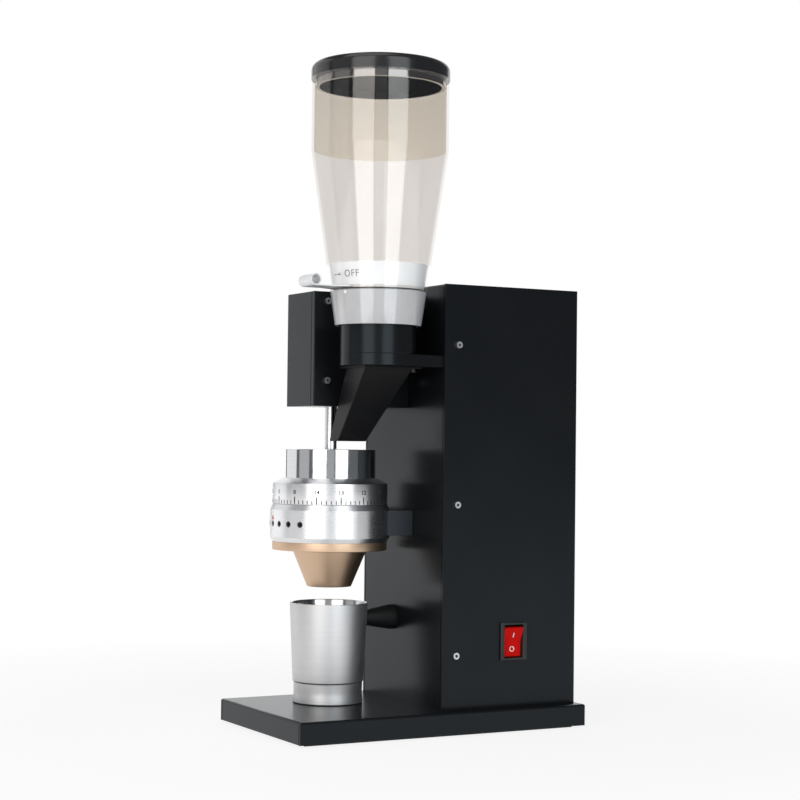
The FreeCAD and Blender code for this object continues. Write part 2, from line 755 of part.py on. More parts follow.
# Burr holder: the polished feed ring, with the throat that leads to the burrs
dial_bottom = body_top + dial_gap
dial_edge = dial_bottom + dial_height
dial_top = dial_edge + dial_shoulder
holder_top = dial_top + holder_rise
feed_radius = holder_radius - holder_wall
throat_bottom = holder_bottom + holder_floor
holder = turned([(burr_bore, holder_bottom), (holder_radius, holder_bottom), (holder_radius, holder_top),
                 (feed_radius, holder_top), (feed_radius, throat_bottom + throat_slope),
                 (burr_bore, throat_bottom)], head)
pin_level = body_top - guide_length / 2
pin_slots = []
guide_pins = []
for side in (-1, 1):
    slot_end = holder_radius - guide_pin_depth - move_gap
    low = min(side * slot_end, side * body_radius)
    high = max(side * slot_end, side * body_radius)
    half_slot = guide_pin_radius + move_gap / 2
    pin_slots.append(block(head_x + low, head_x + high, head_y - half_slot, head_y + half_slot,
                           holder_bottom, pin_level + guide_pin_radius + 2 * move_gap))
    pin_start = V(head_x + side * (holder_radius - guide_pin_depth), head_y, pin_level)
    pin_length = chamber_radius - holder_radius + guide_pin_depth
    guide_pins.append(Part.makeCylinder(guide_pin_radius, pin_length, pin_start, V(side, 0, 0)))
save("burr_holder", minus(holder, pin_slots))
save("guide_pins", guide_pins)

# Adjusting dial, turning on the head body's spigot
bore_radius = holder_radius + move_gap
dial = turned([(bore_radius, dial_bottom), (dial_radius, dial_bottom), (dial_radius, dial_edge),
               (bore_radius + seam_gap, dial_top), (bore_radius, dial_top)], head)
dial_pocket = ring(spigot_radius + move_gap, bore_radius, dial_bottom, dial_bottom + spigot_height, head)
save("adjusting_dial", dial.cut(dial_pocket))

# Head body with its chamber, guide bore, spigot and radial holes
guide_bottom = body_top - guide_length
spigot_top = body_top + spigot_height - dial_gap
body = turned([(chamber_radius, body_bottom), (body_radius - body_chamfer, body_bottom),
               (body_radius, body_bottom + body_chamfer_height), (body_radius, body_top - body_shoulder),
               (dial_radius, body_top), (spigot_radius, body_top), (spigot_radius, spigot_top),
               (bore_radius, spigot_top), (bore_radius, guide_bottom), (chamber_radius, guide_bottom)], head)
spigot_outer_radius = chamber_radius + funnel_spigot
funnel_spigot_top = body_bottom + funnel_spigot_height
body_cuts = [disc(spigot_outer_radius + seat_gap, body_bottom, funnel_spigot_top + seat_gap, head)]
body_cuts += [drill(p, backward, m5_radius, head_bolt_length) for p in head_bolt_seats]
body_cuts += [Part.makeCylinder(guide_pin_radius + seat_gap, chamber_radius - holder_radius + seat_gap,
                                V(head_x + side * holder_radius, head_y, pin_level), V(side, 0, 0))
              for side in (-1, 1)]
grub_level = body_bottom + grub_height
grub_screws = []
for k in range(grub_count):
    turn = math.radians(pointer_angle + (k - (grub_count - 1) / 2) * grub_spacing)
    outward = V(math.sin(turn), -math.cos(turn), 0)
    surface = V(head_x, head_y, grub_level) + outward * body_radius
    body_cuts.append(drill(surface, outward, grub_radius, body_radius - chamber_radius + end_room))
    screw = disc(grub_radius, -grub_length, 0, (0, 0)).cut(hexagon(grub_socket, -grub_length / 2, 0))
    grub_screws.append(placed(screw, surface - outward * grub_sink, outward))
save("head_body", minus(body, body_cuts))
save("grub_screws", grub_screws)

# Bracket between head and tower, with its bolts
bracket = block(head_x - bracket_width / 2, head_x + bracket_width / 2, head_y, tower_front,
                bracket_bottom, bracket_bottom + bracket_height)
bracket = bracket.cut(disc(body_radius + seat_gap, bracket_bottom, bracket_bottom + bracket_height, head))
bracket_holes = [drill(p, backward, m5_radius, head_bolt_length) for p in head_bolt_seats]
save("head_bracket", minus(bracket, bracket_holes))
save("head_bolts", [cap_screw(p, backward, m5_radius, m5_head_radius, m5_head_height, m5_socket,
                              head_bolt_length) for p in head_bolt_seats])

# Grounds funnel
cone_bottom = funnel_bottom - funnel_cone_height
funnel = turned([(funnel_cone_bottom - funnel_wall, cone_bottom), (funnel_cone_bottom, cone_bottom),
                 (funnel_cone_top, funnel_bottom), (funnel_flange_radius, funnel_bottom),
                 (funnel_flange_radius, body_bottom), (spigot_outer_radius, body_bottom),
                 (spigot_outer_radius, funnel_spigot_top), (chamber_radius, funnel_spigot_top),
                 (chamber_radius, floor_top), (funnel_cone_top - funnel_wall, floor_top)], head)
save("funnel", funnel)

# Dosing cup
cup_top = base_top + cup_height
waist = base_top + cup_waist_height
cup = turned([(0, base_top), (cup_foot_radius, base_top), (cup_foot_radius + cup_step, base_top + cup_step),
              (cup_foot_radius, base_top + cup_waist_height / 2), (cup_waist_radius - cup_step, waist),
              (cup_waist_radius, waist + cup_step), (cup_rim_radius, cup_top),
              (cup_rim_radius - cup_wall, cup_top),
              (cup_foot_radius - cup_wall - cup_step, base_top + cup_floor), (0, base_top + cup_floor)], head)
save("cup", cup)

# Rubber cup stop, its screw and nut
stop_collar_end = tower_front - stop_collar
stop = join([Part.makeCylinder(stop_base_radius, stop_collar, V(head_x, tower_front, stop_level), forward),
             Part.makeCone(stop_base_radius, stop_tip_radius, stop_collar_end - stop_tip,
                           V(head_x, stop_collar_end, stop_level), forward)])
stop_holes = [drill(stop_screw_seat, forward, m5_radius, stop_screw_length),
              placed(disc(m5_head_radius + seat_gap, 0, stop_recess, (0, 0)), stop_screw_seat, forward)]
save("cup_stop", minus(stop, stop_holes))
save("cup_stop_screw", cap_screw(stop_screw_seat, forward, m5_radius, m5_head_radius, m5_head_height,
                                 m5_socket, stop_screw_length))
nuts.append(placed(nut, V(head_x, panel_inside, stop_level), backward))
save("nuts", nuts)

# Hopper plate: round front, near edge running to the tower's corner
corner_x = plate_near_end - hopper_x
corner_y = tower_front - hopper_y
corner_reach = math.hypot(corner_x, corner_y)
tangent = math.atan2(corner_y, corner_x) - math.acos(collar_radius / corner_reach)
tangent_point = (hopper_x + collar_radius * math.cos(tangent), hopper_y + collar_radius * math.sin(tangent))
tail = prism([tangent_point, (plate_near_end, tower_front), (plate_far_end, tower_front),
              (plate_far_end, hopper_y), hopper], plate_bottom, plate_top)
plate = join([disc(collar_radius, plate_bottom, plate_top, hopper), tail])
chute_y = hopper_y + chute_top_shift
chute_screw_y = chute_y + chute_top_depth / 2 + chute_tab / 2
chute_screw_places = [(hopper_x + side * chute_screw_spacing / 2, chute_screw_y) for side in (-1, 1)]
flange_bottom = plate_bottom - chute_flange_thickness
chute_screw_length = chute_flange_thickness + plate_thickness - end_room
plate_holes = [disc(throat_radius, plate_bottom, plate_top, hopper)]
plate_holes += [drill(p, backward, m5_radius, plate_bolt_length) for p in plate_bolt_seats]
chute_screw_seats = [V(x, y, flange_bottom) for x, y in chute_screw_places]
chute_screw_holes = [drill(p, down, m3_radius, chute_screw_length) for p in chute_screw_seats]
plate_holes += chute_screw_holes
save("hopper_plate", minus(plate, plate_holes))
save("plate_bolts", [cap_screw(p, backward, m5_radius, m5_head_radius, m5_head_height, m5_socket,
                               plate_bolt_length) for p in plate_bolt_seats])

# Collar that takes the hopper's neck
save("hopper_collar", ring(collar_radius, spigot_outer + move_gap, plate_top, collar_top, hopper))

# Hopper: skirt, cone and cylinder in one shell with web, spigot and throat
web_top = skirt_bottom + web_rise + web_thickness
web_bottom = web_top - web_thickness
spigot_bottom = collar_top - spigot_depth
throat_end = plate_top + move_gap
shell = turned([(skirt_radius - hopper_wall, skirt_bottom), (skirt_radius, skirt_bottom),
                (hopper_radius, cone_top), (hopper_radius, hopper_top),
                (hopper_radius - hopper_wall, hopper_top), (hopper_radius - hopper_wall, cone_top)], hopper)
web_radius = hopper_radius_at(web_bottom) - hopper_wall / 2
neck = join([ring(web_radius, throat_radius, web_bottom, web_top, hopper),
             ring(spigot_outer, spigot_outer - hopper_wall, spigot_bottom, web_top, hopper),
             ring(spigot_outer + hopper_wall, spigot_outer - hopper_wall, collar_top, web_top, hopper),
             ring(throat_radius + hopper_wall, throat_radius, throat_end, web_top, hopper)])
gate_slot_half = gate_width / 2 + move_gap
shell_slot = block(hopper_x - gate_slot_half, hopper_x + gate_slot_half, hopper_y - hopper_radius, hopper_y,
                   web_top, web_top + gate_slot)
save("hopper_shell", join([shell, neck]).cut(shell_slot))

# Gate ring: white funnel floor standing on two rails beside the gate
gate_ring_bottom = web_top + gate_slot
gate_ring_top = gate_ring_bottom + gate_ring_height
ring_low = hopper_radius_at(gate_ring_bottom) - hopper_wall - move_gap
ring_high = hopper_radius_at(gate_ring_top) - hopper_wall - move_gap
funnel_ring = turned([(throat_radius, gate_ring_bottom), (ring_low, gate_ring_bottom),
                      (ring_high, gate_ring_top), (ring_high - gate_ring_wall, gate_ring_top),
                      (throat_radius, gate_ring_bottom + gate_ring_wall)], hopper)
rail_disc = disc(ring_low - move_gap, web_top, gate_ring_bottom, hopper)
rails = rail_disc.cut(block(hopper_x - gate_slot_half, hopper_x + gate_slot_half, hopper_y - ring_low,
                            hopper_y + ring_low, web_top, gate_ring_bottom))
save("gate_ring", join([funnel_ring] + rails.Solids))

# Gate slide: stainless sheet with a tapered front and a curled pull
gate_bottom = web_top + gate_lift
gate_top = gate_bottom + gate_thickness
pull_y = hopper_y - gate_reach
taper_end = pull_y + gate_taper
taper_start = taper_end + gate_taper
half_gate = gate_width / 2
half_pull = handle_width / 2
sheet_points = [(hopper_x - half_pull, pull_y), (hopper_x + half_pull, pull_y),
                (hopper_x + half_pull, taper_end), (hopper_x + half_gate, taper_start),
                (hopper_x + half_gate, hopper_y + gate_tail),
                (hopper_x - half_gate, hopper_y + gate_tail), (hopper_x - half_gate, taper_start),
                (hopper_x - half_pull, taper_end)]
pull_start = V(hopper_x - half_pull, pull_y, gate_bottom + handle_radius)
curl = Part.makeCylinder(handle_radius, handle_width, pull_start, near_side)
curl = curl.cut(Part.makeCylinder(handle_radius - handle_wall, handle_width, pull_start, near_side))
gate = join([prism(sheet_points, gate_bottom, gate_top), curl])
curl_bore = Part.makeCylinder(handle_radius - handle_wall, handle_width, pull_start, near_side)
save("gate_slide", gate.cut(curl_bore))

# Plain film inside the far half of the hopper's cylinder
label_outer = hopper_radius - hopper_wall - label_gap
label = ring(label_outer, label_outer - label_thickness, cone_top, cone_top + label_height, hopper)
keep = block(-hopper_radius, hopper_radius, 0, hopper_radius, cone_top, cone_top + label_height)
keep.rotate(V(0, 0, 0), up, label_turn)
keep.translate(V(hopper_x, hopper_y, 0))
save("hopper_film", label.common(keep))

# Lid with rounded shoulder and plug
lid_top = hopper_top + lid_height
lid_radius = hopper_radius + lid_overhang
plug_radius = hopper_radius - hopper_wall - lid_plug_gap
lid = disc(lid_radius, hopper_top, lid_top, hopper)
lid = lid.makeFillet(lid_round, edges_where(lid, lambda p: near_to(p.z, lid_top))[:1])
lid = join([lid, disc(plug_radius, hopper_top - lid_plug_depth, hopper_top, hopper)])
save("lid", lid.cut(disc(plug_radius - lid_wall, hopper_top - lid_plug_depth, lid_top - lid_wall, hopper)))

# Chute from the plate down to the feed ring: four sheet walls under a screwed flange
chute_bottom = holder_top + chute_gap
chute_end = (head_x + chute_bottom_x, head_y + chute_bottom_y)
chute_start = (hopper_x, chute_y)


def chute_edges(at, width, depth):
    outer = (at[0] - width / 2, at[0] + width / 2, at[1] - depth / 2, at[1] + depth / 2)
    inner = (outer[0] + chute_wall, outer[1] - chute_wall, outer[2] + chute_wall, outer[3] - chute_wall)
    return outer, inner


def chute_wall_wires(at, width, depth, z):
    outer, inner = chute_edges(at, width, depth)
    spans = [(inner[1], outer[1], outer[2], outer[3]), (outer[0], inner[0], outer[2], outer[3]),
             (inner[0], inner[1], outer[2], inner[2]), (inner[0], inner[1], inner[3], outer[3])]
    wires = []
    for x0, x1, y0, y1 in spans:
        corners = [V(x0, y0, z), V(x1, y0, z), V(x1, y1, z), V(x0, y1, z)]
        wires.append(Part.makePolygon(corners + corners[:1]))
    return wires


low_wires = chute_wall_wires(chute_end, chute_bottom_width, chute_bottom_depth, chute_bottom)
high_wires = chute_wall_wires(chute_start, chute_top_width, chute_top_depth, flange_bottom)
save("chute", [Part.makeLoft([low, high], True, True) for low, high in zip(low_wires, high_wires)])
mouth_outer, mouth_inner = chute_edges(chute_start, chute_top_width, chute_top_depth)
chute_rim = block(mouth_outer[0] - chute_tab, mouth_outer[1] + chute_lip, mouth_outer[2] - chute_lip,
                  mouth_outer[3] + chute_tab, flange_bottom, plate_bottom)
chute_mouth = block(*mouth_inner, flange_bottom, plate_bottom)
save("chute_flange", minus(chute_rim, [chute_mouth] + chute_screw_holes))
save("chute_screws", [cap_screw(p, down, m3_radius, m3_head_radius, m3_head_height, m3_socket,
                                chute_screw_length) for p in chute_screw_seats])

# Drive belt: flat loop round both pulleys
belt_bottom = pulley_bottom + pulley_flange_width + move_gap
belt_top = pulley_top - pulley_flange_width - move_gap


def belt_loop(radius0, radius1):
    span = motor_y - head_y
    lean = math.asin((radius0 - radius1) / span)
    wrap_x = math.cos(lean)
    wrap_y = math.sin(lean)
    right0 = V(head_x + radius0 * wrap_x, head_y + radius0 * wrap_y, belt_bottom)
    left0 = V(head_x - radius0 * wrap_x, head_y + radius0 * wrap_y, belt_bottom)
    right1 = V(head_x + radius1 * wrap_x, motor_y + radius1 * wrap_y, belt_bottom)
    left1 = V(head_x - radius1 * wrap_x, motor_y + radius1 * wrap_y, belt_bottom)
    front = V(head_x, head_y - radius0, belt_bottom)
    back = V(head_x, motor_y + radius1, belt_bottom)
    edges = [Part.Arc(left0, front, right0).toShape(), Part.makeLine(right0, right1),
             Part.Arc(right1, back, left1).toShape(), Part.makeLine(left1, left0)]
    return Part.Face(Part.Wire(edges)).extrude(V(0, 0, belt_top - belt_bottom))


belt_inner0 = driven_pulley_radius + move_gap
belt_inner1 = drive_pulley_radius + move_gap
save("drive_belt", belt_loop(belt_inner0 + belt_thickness, belt_inner1 + belt_thickness).cut(
    belt_loop(belt_inner0, belt_inner1)))

# Motor: can, end bell, stator, rotor, shaft, bearings and its hanging plate
motor_plate_bottom = arm_inner_bottom + motor_plate_rise
motor_plate_top = motor_plate_bottom + motor_plate_thickness
can_bottom = motor_plate_bottom - motor_length
bell_bottom = motor_plate_bottom - 2 * motor_wall
bearing_pocket = motor_bearing_radius + seat_gap
can_seat = can_bottom + motor_wall
can_floor = can_seat + motor_bearing_height
can = disc(motor_radius, can_bottom, bell_bottom, motor)
can_cuts = [disc(motor_radius - motor_wall, can_floor, bell_bottom, motor),
            disc(bearing_pocket, can_seat, can_floor, motor)]
save("motor_can", minus(can, can_cuts))
bell = join([disc(motor_radius, bell_bottom, motor_plate_bottom, motor),
             disc(motor_boss_radius, motor_plate_bottom, motor_plate_bottom + motor_boss_height, motor)])
bell_bearing_top = motor_plate_bottom + motor_boss_height
bell_bearing_bottom = bell_bearing_top - motor_bearing_height
motor_bolt_places = around(motor, motor_radius - motor_bolt_inset, 4, 45.0)
motor_bolt_length = motor_plate_thickness + 2 * motor_wall - end_room
motor_bolt_holes = [drill(V(x, y, motor_plate_top), up, m4_radius, motor_bolt_length)
                    for x, y in motor_bolt_places]
bell_cuts = [disc(motor_shaft_radius + move_gap, bell_bottom, bell_bearing_top, motor),
             disc(bearing_pocket, bell_bearing_bottom, bell_bearing_top, motor)]
save("motor_end_bell", minus(bell, bell_cuts + motor_bolt_holes))
stator_outer = motor_radius - motor_wall - seat_gap
stator_inner = stator_outer - stator_thickness
stator_bottom = can_bottom + motor_length / 2 - stator_height / 2
save("motor_stator", ring(stator_outer, stator_inner, stator_bottom, stator_bottom + stator_height, motor))
save("motor_rotor", ring(stator_inner - rotor_gap, motor_shaft_radius + seat_gap, stator_bottom,
                         stator_bottom + stator_height, motor))
shaft_bottom = can_seat + move_gap
save("motor_shaft", disc(motor_shaft_radius, shaft_bottom, pulley_top + sheet, motor))
save("motor_bearings", [
    ring(motor_bearing_radius, motor_shaft_radius + run_gap, z, z + motor_bearing_height, motor)
    for z in (can_seat, bell_bearing_bottom)])
save("drive_pulley", pulley(drive_pulley_radius, motor_shaft_radius, motor))
hang_far = panel_far + sheet + seam_gap
capacitor_near = tower_near - sheet - capacitor_side_room
capacitor_radius = (capacitor_near - head_x - motor_radius - capacitor_motor_gap) / 2
capacitor_at = (capacitor_near - capacitor_radius, tower_front + capacitor_setback)
hang_near = capacitor_at[0] + capacitor_radius
hang_back = motor_y + motor_radius
flange_low = motor_plate_top - motor_plate_drop
hang_flange_back = panel_inside + motor_plate_thickness
hang = join([block(hang_far, hang_near, panel_inside, hang_back, motor_plate_bottom, motor_plate_top),
             block(hang_far, hang_near, panel_inside, hang_flange_back, flange_low, motor_plate_top)])
hang_cuts = [disc(stud_radius + seat_gap, motor_plate_bottom, motor_plate_top, capacitor_at),
             disc(motor_boss_radius + seat_gap, motor_plate_bottom, motor_plate_top, motor)]
hang_cuts += [drill(p, forward, m4_radius, arm_bolt_length) for p in arm_bolt_seats]
save("motor_plate", minus(hang, hang_cuts + motor_bolt_holes))
save("motor_bolts", [cap_screw(V(x, y, motor_plate_top), up, m4_radius, m4_head_radius, m4_head_height,
                               m4_socket, motor_bolt_length) for x, y in motor_bolt_places])

# Run capacitor hanging from the motor plate by its stud
capacitor_bottom = motor_plate_bottom - capacitor_height
save("capacitor", join([disc(capacitor_radius, capacitor_bottom, motor_plate_bottom, capacitor_at),
                        disc(stud_radius, motor_plate_bottom, motor_plate_top + stud_end, capacitor_at)]))
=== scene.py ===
import json
import math
import bpy
import bmesh
from mathutils import Matrix, Vector


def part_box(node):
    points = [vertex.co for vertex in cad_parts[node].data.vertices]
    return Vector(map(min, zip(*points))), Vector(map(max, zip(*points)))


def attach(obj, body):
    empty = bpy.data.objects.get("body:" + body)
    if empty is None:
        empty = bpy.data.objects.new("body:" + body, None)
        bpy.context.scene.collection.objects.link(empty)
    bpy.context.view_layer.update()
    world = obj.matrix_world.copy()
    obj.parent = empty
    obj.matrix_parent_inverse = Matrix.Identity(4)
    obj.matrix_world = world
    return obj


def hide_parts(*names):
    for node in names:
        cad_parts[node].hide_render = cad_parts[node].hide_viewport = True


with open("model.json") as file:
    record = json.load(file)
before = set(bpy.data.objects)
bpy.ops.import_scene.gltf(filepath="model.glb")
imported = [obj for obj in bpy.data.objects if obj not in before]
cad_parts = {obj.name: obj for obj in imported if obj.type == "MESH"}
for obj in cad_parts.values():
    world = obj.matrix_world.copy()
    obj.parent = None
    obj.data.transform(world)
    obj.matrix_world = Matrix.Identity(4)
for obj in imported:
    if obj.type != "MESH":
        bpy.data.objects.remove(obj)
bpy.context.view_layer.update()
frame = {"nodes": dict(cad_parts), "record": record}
scene = bpy.context.scene
nodes = frame["nodes"]
print("stage: frame loaded")

headAxis = (-0.0233, -0.0592)
lowHopper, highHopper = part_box("hopper_collar")
hopperAxis = ((lowHopper.x + highHopper.x) / 2, (lowHopper.y + highHopper.y) / 2)
milli = 0.001
noiseRange = (0.3, 0.7)  # where most of a noise's values lie
fineDetail = 3.0
fineRough = 0.6
ringShare = 0.6  # the lathe marks' part in the roughness, beside the blotches
bumpDepth = {"grain": 0.0002, "rings": 0.0001, "pleats": 0.0003}
levelBlur = 0.0005  # half the height over which one finish meets the next
insideBlur = 0.001  # the same between walls that face the axis and walls that face away


class sock:  # one shader socket with arithmetic
    def __init__(self, tree, socket):
        self.tree = tree
        self.socket = socket

    def node(self, kind, settings=None, inputs=None, output=0):
        made = self.tree.nodes.new(kind)
        for key, value in (settings or {}).items():
            setattr(made, key, value)
        for key, value in (inputs or {}).items():
            if isinstance(value, sock):
                self.tree.links.new(value.socket, made.inputs[key])
            else:
                made.inputs[key].default_value = value
        return sock(self.tree, made.outputs[output])

    def math(self, operation, other=0.0):
        return self.node("ShaderNodeMath", {"operation": operation}, {0: self, 1: other})

    def __add__(self, other):
        return self.math("ADD", other)

    def __sub__(self, other):
        return self.math("SUBTRACT", other)

    def __mul__(self, other):
        return self.math("MULTIPLY", other)

    def __rsub__(self, other):
        return (self * -1.0).math("ADD", other)

    __radd__ = __add__
    __rmul__ = __mul__

    def clamp(self, low, high):
        return self.node("ShaderNodeClamp", None, {"Value": self, "Min": low, "Max": high})

    def remap(self, low, high, newLow, newHigh):
        return self.node("ShaderNodeMapRange", None, {
            "Value": self, "From Min": low, "From Max": high, "To Min": newLow, "To Max": newHigh})

    def spread(self, low=0.0, high=1.0):  # a noise stretched over a range
        return self.remap(noiseRange[0], noiseRange[1], low, high)

    def mix(self, first, second):
        return self.node("ShaderNodeMix", {"data_type": "RGBA"}, {
            0: self, 6: rgba(first), 7: rgba(second)}, 2)

    def parts(self):
        made = self.tree.nodes.new("ShaderNodeSeparateXYZ")
        self.tree.links.new(self.socket, made.inputs[0])
        return [sock(self.tree, out) for out in made.outputs]

    def join(self, y, z):
        return self.node("ShaderNodeCombineXYZ", None, {0: self, 1: y, 2: z})

    def noise(self, scale, detail=2.0, rough=0.5):
        return self.node("ShaderNodeTexNoise", None, {
            "Vector": self, "Scale": scale, "Detail": detail, "Roughness": rough})


def rgba(color):
    return (color[0], color[1], color[2], 1.0)


def newMaterial(name):
    material = bpy.data.materials.new(name)
    material.use_nodes = True
    tree = material.node_tree
    shader = tree.nodes["Principled BSDF"]
    coords = tree.nodes.new("ShaderNodeTexCoord")
    return material, tree, shader, sock(tree, coords.outputs["Object"])


def feed(tree, shader, name, value):
    tree.links.new(value.socket, shader.inputs[name])


def bumpFrom(tree, shader, height, strength, distance):
    bump = tree.nodes.new("ShaderNodeBump")
    bump.inputs["Strength"].default_value = strength
    bump.inputs["Distance"].default_value = distance
    tree.links.new(height.socket, bump.inputs["Height"])
    tree.links.new(bump.outputs["Normal"], shader.inputs["Normal"])


def mixed(tree, factor, first, second):  # a Mix Shader of two shader nodes
    mixer = tree.nodes.new("ShaderNodeMixShader")
    if isinstance(factor, sock):
        tree.links.new(factor.socket, mixer.inputs[0])
    else:
        mixer.inputs[0].default_value = factor
    tree.links.new(first.outputs[0], mixer.inputs[1])
    tree.links.new(second.outputs[0], mixer.inputs[2])
    return mixer


def showSurface(tree, shader):
    tree.links.new(shader.outputs[0], tree.nodes["Material Output"].inputs["Surface"])


def grainy(name, settings):  # paint, plastic and rubber: fine grain, soft blotches
    material, tree, shader, place = newMaterial(name)
    blotch = place.noise(settings["blotchScale"], fineDetail)
    grain = place.noise(settings["grainScale"])
    feed(tree, shader, "Base Color", blotch.spread().mix(settings["color"], settings["worn"]))
    feed(tree, shader, "Roughness", grain.spread(settings["roughLow"], settings["roughHigh"]))
    shader.inputs["Metallic"].default_value = settings.get("metallic", 0.0)
    shader.inputs["Specular IOR Level"].default_value = settings.get("specular", 0.5)
    shader.inputs["Specular Tint"].default_value = rgba(settings.get("sheen", (1.0, 1.0, 1.0)))
    bumpFrom(tree, shader, grain, settings["bump"], bumpDepth["grain"])
    if "plugLevel" in settings:  # the plug below this height is polished
        x, y, z = place.parts()
        level = settings["plugLevel"]
        feed(tree, shader, "Coat Weight", z.remap(level - levelBlur, level + levelBlur, 1.0, 0.0))
        shader.inputs["Coat IOR"].default_value = settings["plugGloss"]
    return material


def turnedMetal(name, settings):  # lathe marks round an upright axis
    material, tree, shader, place = newMaterial(name)
    x, y, z = place.parts()
    dx = x - settings["axis"][0]
    dy = y - settings["axis"][1]
    radius = (dx * dx + dy * dy).math("SQRT")
    rings = radius.join(z, 0.0).noise(settings["ringScale"], fineDetail, fineRough)
    wide = place.noise(settings["blotchScale"])
    feed(tree, shader, "Base Color", rings.spread().mix(settings["color"], settings["worn"]))
    rough = (rings * ringShare + wide * (1.0 - ringShare)).spread(settings["roughLow"], settings["roughHigh"])
    if "insideShare" in settings:  # walls that face the axis are smoother
        facing = sock(tree, place.socket.node.outputs["Normal"]).parts()
        outward = dx * facing[0] + dy * facing[1]
        rough = rough * outward.remap(-insideBlur, insideBlur, settings["insideShare"], 1.0)
    feed(tree, shader, "Roughness", rough)
    shader.inputs["Metallic"].default_value = 1.0
    bumpFrom(tree, shader, rings, settings["bump"], bumpDepth["rings"])
    return material


def clearPlastic(name, settings):  # clear wall with a sharp reflection, milky below the web
    material, tree, shader, place = newMaterial(name)
    tint = place.noise(settings["tintScale"]).spread()
    feed(tree, shader, "Base Color", tint.mix(settings["color"], settings["shade"]))
    shader.inputs["Metallic"].default_value = 1.0
    feed(tree, shader, "Roughness", place.noise(settings["roughScale"]).spread(
        settings["roughLow"], settings["roughHigh"]))
    through = tree.nodes.new("ShaderNodeBsdfTransparent")
    through.inputs["Color"].default_value = rgba(settings["clear"])
    x, y, z = place.parts()
    ringLow, ringHigh = settings["ringLevels"]  # painted light: the wall takes no tint where the white ring backs it, so the ring behind it reads brighter
    rising = z.remap(ringLow - levelBlur, ringLow + levelBlur, 0.0, 1.0)
    band = rising * z.remap(ringHigh - levelBlur, ringHigh + levelBlur, 1.0, 0.0)
    bare = tree.nodes.new("ShaderNodeBsdfTransparent")
    clearMix = mixed(tree, settings["reflect"], mixed(tree, band, through, bare), shader)
    milky = tree.nodes.new("ShaderNodeBsdfPrincipled")
    cloud = place.noise(settings["milkScale"]).spread()
    feed(tree, milky, "Base Color", cloud.mix(settings["milk"], settings["milkShade"]))
    milky.inputs["Roughness"].default_value = settings["milkRough"]
    milky.inputs["Specular IOR Level"].default_value = settings["milkGloss"]
    level = settings["webLevel"]
    skirt = z.remap(level - levelBlur, level + levelBlur, settings["milkShare"], 0.0)
    showSurface(tree, mixed(tree, skirt, clearMix, milky))
    return material


def pleatedFilm(name, settings):  # upright fine pleats round the hopper's axis
    material, tree, shader, place = newMaterial(name)
    x, y, z = place.parts()
    turn = (y - hopperAxis[1]).math("ARCTAN2", x - hopperAxis[0])
    pleats = (turn * settings["pleats"]).join(z * settings["drop"], 0.0).noise(1.0, fineDetail, fineRough)
    feed(tree, shader, "Base Color", pleats.spread().mix(settings["color"], settings["worn"]))
    feed(tree, shader, "Roughness", pleats.spread(settings["roughLow"], settings["roughHigh"]))
    bumpFrom(tree, shader, pleats, settings["bump"], bumpDepth["pleats"])
    through = tree.nodes.new("ShaderNodeBsdfTransparent")
    through.inputs["Color"].default_value = rgba(settings["tint"])
    showSurface(tree, mixed(tree, settings["cover"], through, shader))
    return material


blackCoat = {"color": (0.006, 0.0066, 0.0076), "worn": (0.008, 0.0086, 0.0096), "blotchScale": 14.0,
             "grainScale": 2600.0, "roughLow": 0.2, "roughHigh": 0.27, "bump": 0.06, "specular": 0.24,
             "sheen": (0.78, 0.92, 1.0)}
# Painted light: a lighter, bluish copy of the black coat that paints the lit look of the bracket's side face
paintedLightBracketCoat = {"color": (0.014, 0.018, 0.024), "worn": (0.018, 0.023, 0.03), "blotchScale": 30.0,
               "grainScale": 2200.0, "roughLow": 0.42, "roughHigh": 0.5, "bump": 0.05, "specular": 0.6}
greyInk = {"color": (0.2, 0.2, 0.205), "worn": (0.26, 0.26, 0.265), "blotchScale": 200.0,
           "grainScale": 3000.0, "roughLow": 0.5, "roughHigh": 0.6, "bump": 0.02}
brushedSheet = {"color": (0.86, 0.86, 0.86), "worn": (0.76, 0.76, 0.77), "blotchScale": 120.0,
                "grainScale": 1600.0, "roughLow": 0.3, "roughHigh": 0.42, "bump": 0.04, "metallic": 0.5}
rubberBlack = {"color": (0.007, 0.0075, 0.008), "worn": (0.01, 0.0105, 0.011), "blotchScale": 40.0,
               "grainScale": 1800.0, "roughLow": 0.45, "roughHigh": 0.6, "bump": 0.12, "specular": 0.2}
chutePlastic = {"color": (0.007, 0.007, 0.008), "worn": (0.01, 0.01, 0.011), "blotchScale": 30.0,
                "grainScale": 2200.0, "roughLow": 0.3, "roughHigh": 0.4, "bump": 0.08, "specular": 0.14}
lidPlastic = {"color": (0.012, 0.012, 0.013), "worn": (0.017, 0.017, 0.018), "blotchScale": 30.0,
              "grainScale": 2400.0, "roughLow": 0.14, "roughHigh": 0.2, "bump": 0.03, "specular": 0.5,
              "plugLevel": 0.535, "plugGloss": 3.2}
switchPlastic = {"color": (0.012, 0.012, 0.012), "worn": (0.018, 0.018, 0.018), "blotchScale": 60.0,
                 "grainScale": 3000.0, "roughLow": 0.35, "roughHigh": 0.5, "bump": 0.08, "specular": 0.5}
rockerPlastic = {"color": (0.58, 0.004, 0.003), "worn": (0.66, 0.008, 0.006), "blotchScale": 60.0,
                 "grainScale": 1500.0, "roughLow": 0.3, "roughHigh": 0.4, "bump": 0.02, "specular": 0.06}
whitePlastic = {"color": (0.95, 0.95, 0.955), "worn": (0.92, 0.92, 0.925), "blotchScale": 40.0,
                "grainScale": 2000.0, "roughLow": 0.3, "roughHigh": 0.4, "bump": 0.03, "specular": 0.5}
beigeFilm = {"color": (0.97, 0.89, 0.75), "worn": (0.86, 0.78, 0.64), "pleats": 60.0, "drop": 30.0,
             "roughLow": 0.45, "roughHigh": 0.6, "bump": 0.12, "cover": 0.18, "tint": (1.0, 0.98, 0.935)}
